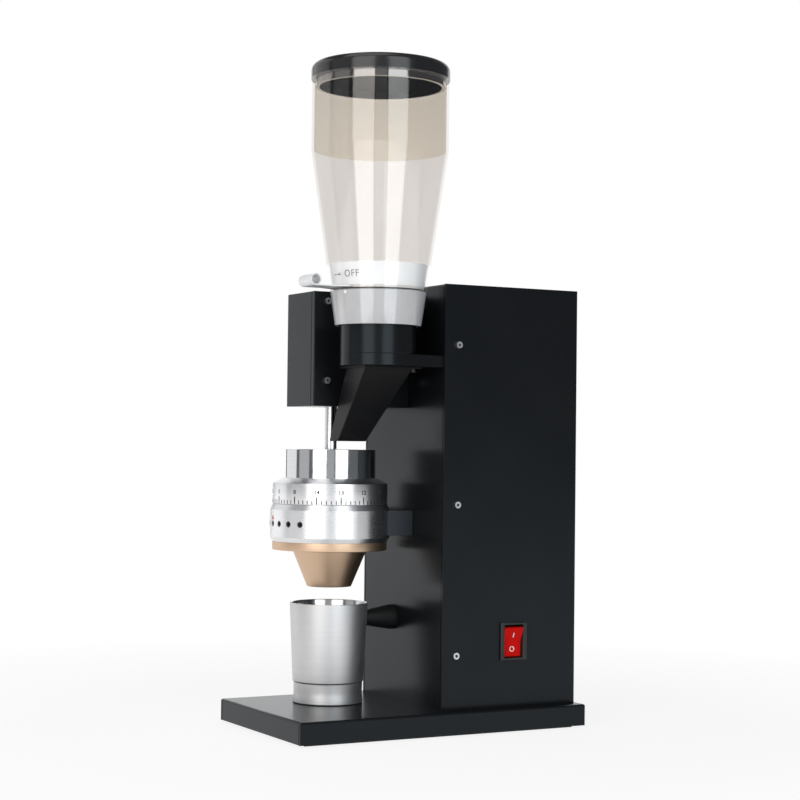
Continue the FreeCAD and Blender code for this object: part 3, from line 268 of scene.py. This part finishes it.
zincSteel = {"color": (0.82, 0.82, 0.83), "worn": (0.7, 0.7, 0.72), "blotchScale": 300.0,
             "grainScale": 2500.0, "roughLow": 0.22, "roughHigh": 0.34, "bump": 0.05, "metallic": 1.0}
blackSteel = {"color": (0.012, 0.012, 0.012), "worn": (0.02, 0.02, 0.02), "blotchScale": 300.0,
              "grainScale": 2500.0, "roughLow": 0.35, "roughHigh": 0.5, "bump": 0.05}
brassContact = {"color": (0.72, 0.52, 0.22), "worn": (0.6, 0.43, 0.2), "blotchScale": 200.0,
                "grainScale": 2500.0, "roughLow": 0.25, "roughHigh": 0.35, "bump": 0.05, "metallic": 1.0}
motorPaint = {"color": (0.03, 0.032, 0.035), "worn": (0.04, 0.042, 0.045), "blotchScale": 30.0,
              "grainScale": 1800.0, "roughLow": 0.4, "roughHigh": 0.55, "bump": 0.1}
motorIron = {"color": (0.16, 0.16, 0.17), "worn": (0.1, 0.09, 0.085), "blotchScale": 80.0,
             "grainScale": 1500.0, "roughLow": 0.4, "roughHigh": 0.6, "bump": 0.2, "metallic": 1.0}
capacitorCase = {"color": (0.7, 0.7, 0.68), "worn": (0.62, 0.62, 0.6), "blotchScale": 40.0,
                 "grainScale": 1800.0, "roughLow": 0.4, "roughHigh": 0.5, "bump": 0.05}
satinAluminium = {"axis": headAxis, "color": (0.84, 0.84, 0.85), "worn": (0.76, 0.76, 0.77),
                  "ringScale": 2600.0, "blotchScale": 60.0, "roughLow": 0.24, "roughHigh": 0.34, "bump": 0.08}
cupAluminium = {"axis": headAxis, "color": (0.72, 0.72, 0.725), "worn": (0.65, 0.65, 0.655),
                "ringScale": 1900.0, "blotchScale": 90.0, "roughLow": 0.42, "roughHigh": 0.55, "bump": 0.12,
                "insideShare": 0.3}
polishedRing = {"axis": headAxis, "color": (0.82, 0.82, 0.83), "worn": (0.76, 0.76, 0.77),
                "ringScale": 2200.0, "blotchScale": 60.0, "roughLow": 0.06, "roughHigh": 0.14, "bump": 0.03}
copperAnodised = {"axis": headAxis, "color": (0.72, 0.52, 0.365), "worn": (0.66, 0.47, 0.33),
                  "ringScale": 2200.0, "blotchScale": 60.0, "roughLow": 0.36, "roughHigh": 0.46, "bump": 0.06}
groundSteel = {"axis": headAxis, "color": (0.8, 0.8, 0.81), "worn": (0.7, 0.7, 0.71),
               "ringScale": 2600.0, "blotchScale": 60.0, "roughLow": 0.16, "roughHigh": 0.28, "bump": 0.05}
burrSteel = {"axis": headAxis, "color": (0.42, 0.42, 0.43), "worn": (0.34, 0.34, 0.35),
             "ringScale": 2000.0, "blotchScale": 60.0, "roughLow": 0.25, "roughHigh": 0.35, "bump": 0.08}
clearWall = {"clear": (0.928, 0.915, 0.905), "reflect": 0.05, "color": (0.9, 0.89, 0.88),
             "shade": (0.85, 0.84, 0.82), "tintScale": 30.0, "roughScale": 90.0, "roughLow": 0.05,
             "roughHigh": 0.08, "milk": (0.57, 0.57, 0.58), "milkShade": (0.52, 0.52, 0.53),
             "milkScale": 50.0, "milkRough": 0.06, "milkGloss": 1.0, "milkShare": 0.85, "webLevel": 0.3612,
             "ringLevels": (0.3647, 0.3833)}

looks = {
    "black_coat": grainy("blackCoat", blackCoat),
    "rubber_pad": grainy("rubberBlack", rubberBlack),
    "zinc_steel": grainy("zincSteel", zincSteel),
    "black_steel": grainy("blackSteel", blackSteel),
    "switch_black": grainy("switchPlastic", switchPlastic),
    "rocker_red": grainy("rockerPlastic", rockerPlastic),
    "contact_brass": grainy("brassContact", brassContact),
    "satin_aluminium": turnedMetal("satinAluminium", satinAluminium),
    "polished_ring": turnedMetal("polishedRing", polishedRing),
    "bright_steel": turnedMetal("groundSteel", groundSteel),
    "burr_steel": turnedMetal("burrSteel", burrSteel),
    "copper_anodised": turnedMetal("copperAnodised", copperAnodised),
    "cup_aluminium": turnedMetal("cupAluminium", cupAluminium),
    "motor_paint": grainy("motorPaint", motorPaint),
    "motor_iron": grainy("motorIron", motorIron),
    "belt_rubber": grainy("beltRubber", rubberBlack),
    "capacitor_case": grainy("capacitorCase", capacitorCase),
    "clear_hopper": clearPlastic("clearHopper", clearWall),
    "white_ring": grainy("whitePlastic", whitePlastic),
    "beige_film": pleatedFilm("beigeFilm", beigeFilm),
    "lid_black": grainy("lidPlastic", lidPlastic),
    "chute_black": grainy("chutePlastic", chutePlastic),
}
slotOf = {entry["node"]: entry["material_slot"] for entry in frame["record"]["subparts"]}
for nodeName, slotName in slotOf.items():
    mesh = nodes[nodeName].data
    mesh.materials.clear()
    mesh.materials.append(looks[slotName])
nodes["gate_slide"].data.materials[0] = grainy("brushedSheet", brushedSheet)
print("stage: materials")


def addPiece(name, mesh, body, slotName, replaced=(), finish=None):
    mesh.materials.clear()
    mesh.materials.append(finish or looks[slotName])
    piece = bpy.data.objects.new(name, mesh)
    scene.collection.objects.link(piece)
    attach(piece, body)
    if replaced:
        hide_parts(*replaced)


def smoothBy(mesh, degrees):
    for polygon in mesh.polygons:
        polygon.use_smooth = True
    mesh.set_sharp_from_angle(angle=math.radians(degrees))


def finalMesh(holder, name):  # the object's mesh with its modifiers applied
    bpy.context.view_layer.update()
    mesh = bpy.data.meshes.new_from_object(holder.evaluated_get(bpy.context.evaluated_depsgraph_get()))
    mesh.name = name
    bpy.data.objects.remove(holder)
    return mesh


def meshFrom(build, name):
    mesh = bpy.data.meshes.new(name)
    build.to_mesh(mesh)
    build.free()
    return mesh


bevelRules = {"crease": 50, "coplanar": 0.5, "weld": 2e-6, "segments": 2, "sharp": 35, "flatWeight": 100}


def trueFlats(name, build):  # smooth bevels beside flats that keep their own normals
    rough = meshFrom(build, name + "Rough")
    smoothBy(rough, bevelRules["sharp"])
    holder = bpy.data.objects.new(name + "Rough", rough)
    scene.collection.objects.link(holder)
    weights = holder.modifiers.new("weights", "WEIGHTED_NORMAL")
    weights.keep_sharp = True
    weights.weight = bevelRules["flatWeight"]
    mesh = finalMesh(holder, name)
    bpy.data.meshes.remove(rough)
    return mesh


def softEdges(nodeName, settings):  # the node's shape with its long sharp edges broken
    build = bmesh.new()
    build.from_mesh(nodes[nodeName].data)
    bmesh.ops.remove_doubles(build, verts=build.verts, dist=bevelRules["weld"])
    bmesh.ops.dissolve_limit(build, angle_limit=math.radians(bevelRules["coplanar"]), verts=build.verts,
                             edges=build.edges)
    crease = math.radians(bevelRules["crease"])
    chosen = [edge for edge in build.edges if len(edge.link_faces) == 2 and edge.is_convex
              and edge.calc_face_angle(0.0) > crease and edge.calc_length() > settings["shortest"]]
    bmesh.ops.bevel(build, geom=chosen, offset=settings["width"], segments=bevelRules["segments"],
                    profile=0.5, affect="EDGES", clamp_overlap=True)
    bmesh.ops.remove_doubles(build, verts=build.verts, dist=bevelRules["weld"])
    bmesh.ops.dissolve_degenerate(build, dist=bevelRules["weld"], edges=build.edges)
    return trueFlats(nodeName + "Soft", build)


# Folded and moulded pieces with broken edges
edgeBreaks = {
    "arm_housing": {"width": 0.0005, "shortest": 0.01},
    "arm_cover": {"width": 0.0003, "shortest": 0.01},
    "hopper_collar": {"width": 0.0005, "shortest": 0.0003},
    "hopper_plate": {"width": 0.0005, "shortest": 0.0003},
    "head_bracket": {"width": 0.0006, "shortest": 0.01},
    "chute_flange": {"width": 0.0003, "shortest": 0.01},
    "base_tray": {"width": 0.0003, "shortest": 0.01},
    "tower_chassis": {"width": 0.0003, "shortest": 0.012},
    "wrap_cover": {"width": 0.0004, "shortest": 0.012},
    "switch_housing": {"width": 0.0004, "shortest": 0.015},
    "rocker": {"width": 0.0006, "shortest": 0.008},
    "inlet_socket": {"width": 0.0004, "shortest": 0.015},
}
bodies = frame["record"]["behaviour"]["bodies"]
bodyOf = {nodeName: body for body, members in bodies.items() for nodeName in members}
# the head bracket takes the lighter copy of the black coat, a painted highlight on its lit face
ownFinish = {"head_bracket": grainy("paintedLightBracketCoat", paintedLightBracketCoat)}
for nodeName, settings in edgeBreaks.items():
    addPiece(nodeName + "Soft", softEdges(nodeName, settings), bodyOf[nodeName], slotOf[nodeName],
             (nodeName,), ownFinish.get(nodeName))
print("stage: broken edges")

# Chute: one bent-up tube in place of its four walls
chuteTube = {"wall": 0.0015, "corner": 0.0008, "steps": 3, "sameLevel": 1e-5}


def chuteCorners(level, inset):
    ends = [v.co for v in nodes["chute"].data.vertices if abs(v.co.z - level) < chuteTube["sameLevel"]]
    left = min(p.x for p in ends) + inset
    right = max(p.x for p in ends) - inset
    front = min(p.y for p in ends) + inset
    back = max(p.y for p in ends) - inset
    return [(left, front, level), (right, front, level), (right, back, level), (left, back, level)]


def chuteMesh(settings):
    heights = [v.co.z for v in nodes["chute"].data.vertices]
    low, high = min(heights), max(heights)
    rings = [chuteCorners(low, 0.0), chuteCorners(high, 0.0),
             chuteCorners(high, settings["wall"]), chuteCorners(low, settings["wall"])]
    build = bmesh.new()
    columns = [[build.verts.new(corner) for corner in column] for column in zip(*rings)]
    for k, first in enumerate(columns):
        second = columns[(k + 1) % len(columns)]
        for j in range(len(rings)):
            follow = (j + 1) % len(rings)
            build.faces.new((first[j], second[j], second[follow], first[follow]))
    bmesh.ops.recalc_face_normals(build, faces=build.faces)
    upright = [build.edges.get((column[0], column[1])) for column in columns]
    bmesh.ops.bevel(build, geom=upright, offset=settings["corner"], segments=settings["steps"], profile=0.5,
                    affect="EDGES")
    return trueFlats("chuteTube", build)


addPiece("chuteTube", chuteMesh(chuteTube), "frame", "chute_black", ("chute",))

# Turned pieces with rounded corners: each corner is (radius, height, rounding), in millimetres
latheRules = {"segments": 192, "roundSteps": 4, "weld": 1e-7, "sharp": 40}
dialShape = [(38.4, 189.8, 0.0), (43.3, 189.8, 0.0), (43.3, 186.6, 0.2), (48.4, 186.6, 0.4),
             (48.4, 204.0, 0.6), (39.2, 208.4, 0.4), (38.4, 208.4, 0.3)]
feedShape = [(19.0, 174.8, 0.0), (38.1, 174.8, 0.3), (38.1, 232.4, 0.7), (34.5, 232.4, 0.7),
             (34.5, 196.8, 2.0), (19.0, 182.8, 1.0)]
funnelShape = [(16.6, 117.2, 0.3), (18.6, 117.2, 0.5), (31.4, 148.0, 0.5), (48.3, 148.0, 0.8),
               (48.3, 155.2, 0.3), (46.0, 155.2, 0.0), (46.0, 158.2, 0.0), (44.0, 158.2, 0.0),
               (44.0, 150.0, 1.0), (29.4, 150.0, 1.0)]
cupShape = [(0.0, 20.0, 0.0), (28.6, 20.0, 0.5), (29.4, 20.8, 0.3), (28.7, 29.0, 2.0), (29.0, 37.4, 0.5),
            (29.8, 38.4, 0.3), (32.9, 103.7, 0.7), (31.3, 103.7, 0.7), (26.2, 24.0, 2.0), (0.0, 24.0, 0.0)]


def roundedLoop(points):
    steps = latheRules["roundSteps"]
    loop = []
    for k, (r, z, fillet) in enumerate(points):
        here = Vector((r, z))
        before = Vector(points[k - 1][:2]) - here
        after = Vector(points[(k + 1) % len(points)][:2]) - here
        if fillet <= 0.0:
            loop.append(here)
            continue
        start = here + before.normalized() * fillet
        end = here + after.normalized() * fillet
        for j in range(steps + 1):
            t = j / steps
            loop.append(start * (1 - t) ** 2 + here * 2 * t * (1 - t) + end * t * t)
    return loop


def lathe(name, points, axis):
    loop = roundedLoop(points)
    segments = latheRules["segments"]
    build = bmesh.new()
    columns = []
    for k in range(segments):
        turn = 2 * math.pi * k / segments
        columns.append([build.verts.new((axis[0] + p.x * milli * math.cos(turn),
                                         axis[1] + p.x * milli * math.sin(turn), p.y * milli)) for p in loop])
    for k in range(segments):
        first = columns[k]
        second = columns[(k + 1) % segments]
        for j in range(len(loop)):
            follow = (j + 1) % len(loop)
            build.faces.new((first[j], second[j], second[follow], first[follow]))
    bmesh.ops.remove_doubles(build, verts=build.verts, dist=latheRules["weld"])
    loose = [edge for edge in build.edges if not edge.link_faces]
    bmesh.ops.delete(build, geom=loose, context="EDGES")
    bmesh.ops.recalc_face_normals(build, faces=build.faces)
    mesh = meshFrom(build, name)
    smoothBy(mesh, latheRules["sharp"])
    return mesh


addPiece("dialRing", lathe("dialRing", dialShape, headAxis), "dial", "satin_aluminium", ("adjusting_dial",))
addPiece("feedRing", lathe("feedRing", feedShape, headAxis), "burr_holder", "polished_ring", ("burr_holder",))
addPiece("funnelCone", lathe("funnelCone", funnelShape, headAxis), "frame", "copper_anodised", ("funnel",))
addPiece("doseCup", lathe("doseCup", cupShape, headAxis), "cup", "cup_aluminium", ("cup",))
print("stage: turned pieces")


def repeatRound(name, settings):  # blocks set round an upright axis, made with geometry nodes
    tree = bpy.data.node_groups.new(name, "GeometryNodeTree")
    wanted = {"Count": "NodeSocketInt", "Step": "NodeSocketFloat", "First": "NodeSocketFloat",
              "Radius": "NodeSocketFloat", "Level": "NodeSocketFloat", "Size": "NodeSocketVector",
              "Axis": "NodeSocketVector"}
    keys = {label: tree.interface.new_socket(label, in_out="INPUT", socket_type=kind).identifier
            for label, kind in wanted.items()}
    tree.interface.new_socket("Geometry", in_out="OUTPUT", socket_type="NodeSocketGeometry")
    entry = tree.nodes.new("NodeGroupInput")
    given = {label: sock(tree, entry.outputs[label]) for label in wanted}
    index = sock(tree, tree.nodes.new("GeometryNodeInputIndex").outputs[0])
    turn = index * given["Step"] + given["First"]
    across = turn.math("SINE") * given["Radius"]
    along = turn.math("COSINE") * given["Radius"] * -1.0
    offset = across.join(along, given["Level"])
    place = offset.node("ShaderNodeVectorMath", {"operation": "ADD"}, {0: offset, 1: given["Axis"]})
    points = turn.node("GeometryNodePoints", None, {"Count": given["Count"], "Position": place})
    cube = turn.node("GeometryNodeMeshCube", None, {"Size": given["Size"]})
    spin = turn.node("ShaderNodeCombineXYZ", None, {"Z": turn})
    copies = turn.node("GeometryNodeInstanceOnPoints", None, {
        "Points": points, "Instance": cube, "Rotation": spin})
    real = turn.node("GeometryNodeRealizeInstances", None, {"Geometry": copies})
    leave = tree.nodes.new("NodeGroupOutput")
    tree.links.new(real.socket, leave.inputs[0])
    seed = bpy.data.meshes.new(name + "Seed")
    holder = bpy.data.objects.new(name + "Seed", seed)
    scene.collection.objects.link(holder)
    modifier = holder.modifiers.new("repeat", "NODES")
    modifier.node_group = tree
    for label, value in settings.items():
        modifier[keys[label]] = value
    mesh = finalMesh(holder, name)
    bpy.data.meshes.remove(seed)
    return mesh


# Dial scale: one number to every five ticks
axisVector = (headAxis[0], headAxis[1], 0.0)
zeroTurn = math.radians(26.4)  # where the dial's 0 stands, from the front towards the switch side
numberStep = math.radians(24.0)
numberCount = 15
ticksPerNumber = 5
minorTicks = {"Count": numberCount * ticksPerNumber, "Step": numberStep / ticksPerNumber, "First": zeroTurn,
              "Radius": 0.0484, "Level": 0.1886, "Size": (0.0007, 0.0002, 0.003), "Axis": axisVector}
majorTicks = {"Count": numberCount, "Step": numberStep, "First": zeroTurn,
              "Radius": 0.04841, "Level": 0.1901, "Size": (0.0009, 0.0002, 0.006), "Axis": axisVector}
addPiece("dialMinorTicks", repeatRound("dialMinorTicks", minorTicks), "dial", "black_steel")
addPiece("dialMajorTicks", repeatRound("dialMajorTicks", majorTicks), "dial", "black_steel")


def textMesh(words, size, depth, spacing=1.0, bolder=0.0, steps=8):
    curve = bpy.data.curves.new("words", "FONT")
    curve.body = words
    curve.size = size
    curve.extrude = depth / 2
    curve.offset = bolder
    curve.resolution_u = steps
    curve.align_x = "CENTER"
    curve.align_y = "CENTER"
    curve.space_character = spacing
    holder = bpy.data.objects.new("words", curve)
    scene.collection.objects.link(holder)
    mesh = finalMesh(holder, "words")
    bpy.data.curves.remove(curve)
    return mesh


def flatMesh(corners, depth):  # a thin plate with the given outline, lying in x and y
    count = len(corners)
    points = [(x, y, -depth / 2) for x, y in corners] + [(x, y, depth / 2) for x, y in corners]
    faces = [tuple(reversed(range(count))), tuple(range(count, 2 * count))]
    faces += [(k, (k + 1) % count, count + (k + 1) % count, count + k) for k in range(count)]
    mesh = bpy.data.meshes.new("plate")
    mesh.from_pydata(points, [], faces)
    return mesh


def roundPlate(radius, count, depth):  # a thin plate with equal sides
    turns = [2 * math.pi * k / count for k in range(count)]
    return flatMesh([(radius * math.cos(turn), radius * math.sin(turn)) for turn in turns], depth)


def wallRadius(wall, z):  # a wall is two (height, radius) pairs
    (low, lowRadius), (high, highRadius) = wall
    return lowRadius + (highRadius - lowRadius) * (z - low) / (high - low)


def wrapRound(mesh, axis, turn, wall, level):  # flat marks laid on a round wall
    for vertex in mesh.vertices:
        x, y, z = vertex.co
        radius = wallRadius(wall, level + y)
        angle = turn + x / radius
        vertex.co = (axis[0] + (radius + z) * math.sin(angle), axis[1] - (radius + z) * math.cos(angle),
                     level + y)
    return mesh


def merged(name, meshes):
    build = bmesh.new()
    for mesh in meshes:
        build.from_mesh(mesh)
        bpy.data.meshes.remove(mesh)
    bmesh.ops.remove_doubles(build, verts=build.verts, dist=latheRules["weld"])
    bmesh.ops.recalc_face_normals(build, faces=build.faces)
    return meshFrom(build, name)


dialNumbers = {"size": 0.0047, "depth": 0.0003, "level": 0.1968, "bolder": 0.00014, "steps": 3,
               "wall": ((0.18, 0.0484), (0.21, 0.0484))}
numberMeshes = []
for number in range(numberCount):
    digits = textMesh(str(number), dialNumbers["size"], dialNumbers["depth"], bolder=dialNumbers["bolder"],
                      steps=dialNumbers["steps"])
    numberMeshes.append(wrapRound(digits, headAxis, zeroTurn - numberStep * number, dialNumbers["wall"],
                                  dialNumbers["level"]))
addPiece("dialNumbers", merged("dialNumbers", numberMeshes), "dial", "black_steel")

pointerMark = {"turn": math.radians(-6.0), "level": 0.1756, "half": 0.0021, "halfHigh": 0.0021,
               "depth": 0.0002, "wall": ((0.17, 0.0506), (0.18, 0.0506))}
triangle = flatMesh([(-pointerMark["half"], -pointerMark["halfHigh"]),
                     (pointerMark["half"], -pointerMark["halfHigh"]),
                     (0.0, pointerMark["halfHigh"])], pointerMark["depth"])
addPiece("pointerMark", wrapRound(triangle, headAxis, pointerMark["turn"], pointerMark["wall"],
                                  pointerMark["level"]), "frame", "rocker_red")

gateMarks = {"turn": math.radians(28.0), "size": 0.0078, "depth": 0.0003, "level": 0.3737, "spacing": 1.1,
             "arrowTurn": math.radians(3.0), "arrowLength": 0.0105, "arrowLine": 0.0007, "arrowHead": 0.0024,
             "arrowSteps": 12, "wall": ((0.3647, 0.0376), (0.3833, 0.0403))}


def arrowMesh(settings):  # its line has many steps, to follow the round wall
    line = settings["arrowLine"] / 2
    reach = settings["arrowLength"] / 2
    tip = settings["arrowHead"]
    steps = settings["arrowSteps"]
    stops = [-reach + (2 * reach - tip) * k / steps for k in range(steps + 1)]
    head = [(reach - tip, -tip / 2), (reach, 0.0), (reach - tip, tip / 2)]
    outline = [(x, -line) for x in stops] + head + [(x, line) for x in reversed(stops)]
    return flatMesh(outline, settings["depth"])


offWord = wrapRound(textMesh("OFF", gateMarks["size"], gateMarks["depth"], gateMarks["spacing"]), hopperAxis,
                    gateMarks["turn"], gateMarks["wall"], gateMarks["level"])
arrow = wrapRound(arrowMesh(gateMarks), hopperAxis, gateMarks["arrowTurn"], gateMarks["wall"],
                  gateMarks["level"])
addPiece("gateMarks", merged("gateMarks", [offWord, arrow]), "hopper", "motor_paint", (),
         grainy("greyInk", greyInk))

skirtPin = {"turn": math.radians(19.0), "level": 0.3592, "radius": 0.0014, "depth": 0.0005, "corners": 24,
            "wall": ((0.3336, 0.0354), (0.4772, 0.0562))}
pinDisc = roundPlate(skirtPin["radius"], skirtPin["corners"], skirtPin["depth"])
addPiece("skirtPin", wrapRound(pinDisc, hopperAxis, skirtPin["turn"], skirtPin["wall"], skirtPin["level"]),
         "hopper", "white_ring")

# Painted shade: dark hexagons laid in the sockets of the cap screws that show, where the socket's own shade
# falls; outward side and seats, in metres
paintedSocketShade = {"flats": 0.0024, "depth": 0.0002, "rise": 0.00145,
                "tower": {"near": 0.0637, "far": -0.075, "back": 0.0137, "levels": (0.0641, 0.1879, 0.3196)},
                "arm": {"near": 0.0027, "backs": (-0.0768, -0.0104), "levels": (0.2895, 0.3555)}}


# one dark hexagon of painted shade, set just above a socket's floor
def socketPlate(x, y, z, side):
    plate = roundPlate(paintedSocketShade["flats"] / math.sqrt(3), 6, paintedSocketShade["depth"])
    turned = Matrix.Rotation(math.radians(90 * side), 4, "Y")
    plate.transform(Matrix.Translation((x + side * paintedSocketShade["rise"], y, z)) @ turned)
    return plate


tower = paintedSocketShade["tower"]
arm = paintedSocketShade["arm"]
socketShadePlates = [socketPlate(tower["near"], tower["back"], z, 1) for z in tower["levels"]]
socketShadePlates += [socketPlate(tower["far"], tower["back"], z, -1) for z in tower["levels"]]
socketShadePlates += [socketPlate(arm["near"], y, z, 1) for y in arm["backs"] for z in arm["levels"]]
addPiece("paintedSocketShade", merged("paintedSocketShade", socketShadePlates), "frame", "black_steel")

# Switch marks lie on the rocker's two sloping faces
rockerMarks = {"pivot": (0.0593, 0.0695, 0.074), "tilt": math.radians(12.0), "rise": 0.0054, "dip": 0.0032,
               "half": 0.0123, "size": 0.0062, "depth": 0.0002, "barHalf": 0.0004, "barReach": 0.0021}


def onRocker(mesh, side):
    rise, dip, half = rockerMarks["rise"], rockerMarks["dip"], rockerMarks["half"]
    slope = Vector((side * (rise - dip), 0.0, half)).normalized()
    across = Vector((0.0, 1.0, 0.0))
    base = Matrix((across, slope, across.cross(slope))).transposed().to_4x4()
    base.translation = ((rise + dip) / 2, 0.0, side * half / 2)
    spin = Matrix.Rotation(rockerMarks["tilt"], 4, "Y")
    mesh.transform(Matrix.Translation(rockerMarks["pivot"]) @ spin @ base)
    return mesh


barHalf, barReach = rockerMarks["barHalf"], rockerMarks["barReach"]
bar = flatMesh([(-barHalf, -barReach), (barHalf, -barReach), (barHalf, barReach), (-barHalf, barReach)],
               rockerMarks["depth"])
onMark = onRocker(bar, 1)
offMark = onRocker(textMesh("O", rockerMarks["size"], rockerMarks["depth"]), -1)
addPiece("rockerMarks", merged("rockerMarks", [onMark, offMark]), "rocker", "white_ring")
print("stage: marks")

# Stage, light and camera
studioFloor = {"half": 4, "color": (0.8, 0.8, 0.8), "shade": (0.84, 0.84, 0.84), "shadeScale": 3.0,
               "roughness": 0.9, "near": 0.3, "far": 0.75, "nearGlow": 0.86, "farGlow": 1.0}
white = (1.0, 1.0, 1.0, 1.0)


def rayShare(tree, kinds):  # 1 where the ray is one of these kinds
    path = tree.nodes.new("ShaderNodeLightPath")
    share = sock(tree, path.outputs[kinds[0]])
    for kind in kinds[1:]:
        share = share + sock(tree, path.outputs[kind])
    return share.clamp(0.0, 1.0)


def paleFloor(settings):
    material, tree, shader, place = newMaterial("paleFloor")
    shade = place.noise(settings["shadeScale"]).spread()
    feed(tree, shader, "Base Color", shade.mix(settings["color"], settings["shade"]))
    shader.inputs["Roughness"].default_value = settings["roughness"]
    x, y, z = place.parts()
    glowShare = (x * x + y * y).math("SQRT").remap(  # the shadow stays near the foot
        settings["near"], settings["far"], settings["nearGlow"], settings["farGlow"])
    seen = rayShare(tree, ("Is Camera Ray", "Is Glossy Ray", "Is Transmission Ray")) * glowShare
    glow = tree.nodes.new("ShaderNodeEmission")
    glow.inputs["Color"].default_value = white
    showSurface(tree, mixed(tree, seen, shader, glow))
    return material


half = studioFloor["half"]
floorMesh = bpy.data.meshes.new("floorMesh")
floorMesh.from_pydata([(-half, -half, 0), (half, -half, 0), (half, half, 0), (-half, half, 0)], [],
                      [(0, 1, 2, 3)])
floor = bpy.data.objects.new("studioFloor", floorMesh)
scene.collection.objects.link(floor)
floorMesh.materials.append(paleFloor(studioFloor))

studioWorld = {"color": (0.9, 0.95, 1.0), "strength": 0.14}
world = bpy.data.worlds.new("studioWorld")
scene.world = world
world.use_nodes = True
worldTree = world.node_tree
worldTree.nodes.clear()
worldOut = worldTree.nodes.new("ShaderNodeOutputWorld")
roomGlow = worldTree.nodes.new("ShaderNodeBackground")
roomGlow.inputs["Color"].default_value = rgba(studioWorld["color"])
roomGlow.inputs["Strength"].default_value = studioWorld["strength"]
whiteGlow = worldTree.nodes.new("ShaderNodeBackground")
whiteGlow.inputs["Color"].default_value = white
seenRay = rayShare(worldTree, ("Is Camera Ray", "Is Transmission Ray"))
worldMix = mixed(worldTree, seenRay, roomGlow, whiteGlow)
worldTree.links.new(worldMix.outputs[0], worldOut.inputs["Surface"])

softboxes = {
    "leftBox": {"azimuth": 36.0, "distance": 1.4, "width": 0.91, "height": 1.62, "level": 0.8, "aim": 0.5,
                "radiance": 2.4, "color": (1.0, 0.98, 0.96)},
    "rightBox": {"azimuth": 92.0, "distance": 1.4, "width": 0.805, "height": 1.62, "level": 0.8, "aim": 0.5,
                 "radiance": 2.4, "color": (0.92, 0.97, 1.0)},
    "frontFill": {"azimuth": -58.0, "distance": 2.2, "width": 2.2, "height": 2.6, "level": 0.8, "aim": 0.4,
                  "radiance": 0.78, "color": (1.0, 1.0, 1.0)},
    "frontPanel": {"azimuth": -7.0, "distance": 2.2, "width": 1.25, "height": 2.2, "level": 0.9, "aim": 0.5,
                   "radiance": 0.34, "color": (1.0, 1.0, 1.0)},
    "backPanel": {"azimuth": -122.0, "distance": 2.6, "width": 3.0, "height": 2.6, "level": 0.9, "aim": 0.4,
                  "radiance": 1.0, "color": (1.0, 1.0, 1.0)},
    "cameraFill": {"azimuth": 64.0, "distance": 2.3, "width": 0.75, "height": 2.2, "level": 0.9, "aim": 0.5,
                   "radiance": 0.27, "color": (0.98, 0.99, 1.0)},
    "topFill": {"azimuth": 20.0, "distance": 0.6, "width": 1.6, "height": 1.6, "level": 2.2, "aim": 0.3,
                "radiance": 1.2, "color": (1.0, 1.0, 1.0)},
}


def softbox(name, settings):
    light = bpy.data.lights.new(name, "AREA")
    light.shape = "RECTANGLE"
    light.size = settings["width"]
    light.size_y = settings["height"]
    light.color = settings["color"]
    light.energy = settings["radiance"] * math.pi * settings["width"] * settings["height"]
    holder = bpy.data.objects.new(name, light)
    scene.collection.objects.link(holder)
    turn = math.radians(settings["azimuth"])
    target = Vector((headAxis[0], headAxis[1], settings["aim"]))
    away = Vector((math.sin(turn), -math.cos(turn), 0.0)) * settings["distance"]
    holder.location = Vector((target.x, target.y, settings["level"])) + away
    holder.rotation_euler = (target - holder.location).to_track_quat("-Z", "Y").to_euler()
    holder.visible_camera = False


for name, settings in softboxes.items():
    softbox(name, settings)

view = {"place": (1.3993, -0.7691, 0.2353), "forward": (-0.87758, 0.47879, 0.02482), "roll": 0.65,
        "lens": 84.56, "sensor": 36.0, "nearest": 0.05}
camera = bpy.data.cameras.new("photoCamera")
camera.sensor_width = view["sensor"]
camera.lens = view["lens"]
camera.clip_start = view["nearest"]
cameraObject = bpy.data.objects.new("photoCamera", camera)
scene.collection.objects.link(cameraObject)
forward = Vector(view["forward"]).normalized()
right = forward.cross(Vector((0, 0, 1))).normalized()
upward = right.cross(forward)
roll = math.radians(view["roll"])
rolledRight = right * math.cos(roll) + upward * math.sin(roll)
rolledUp = upward * math.cos(roll) - right * math.sin(roll)
cameraObject.matrix_world = Matrix.Translation(view["place"]) @ Matrix(
    (rolledRight, rolledUp, -forward)).transposed().to_4x4()
scene.camera = cameraObject
scene.view_settings.view_transform = "Standard"
print("stage: light and camera")
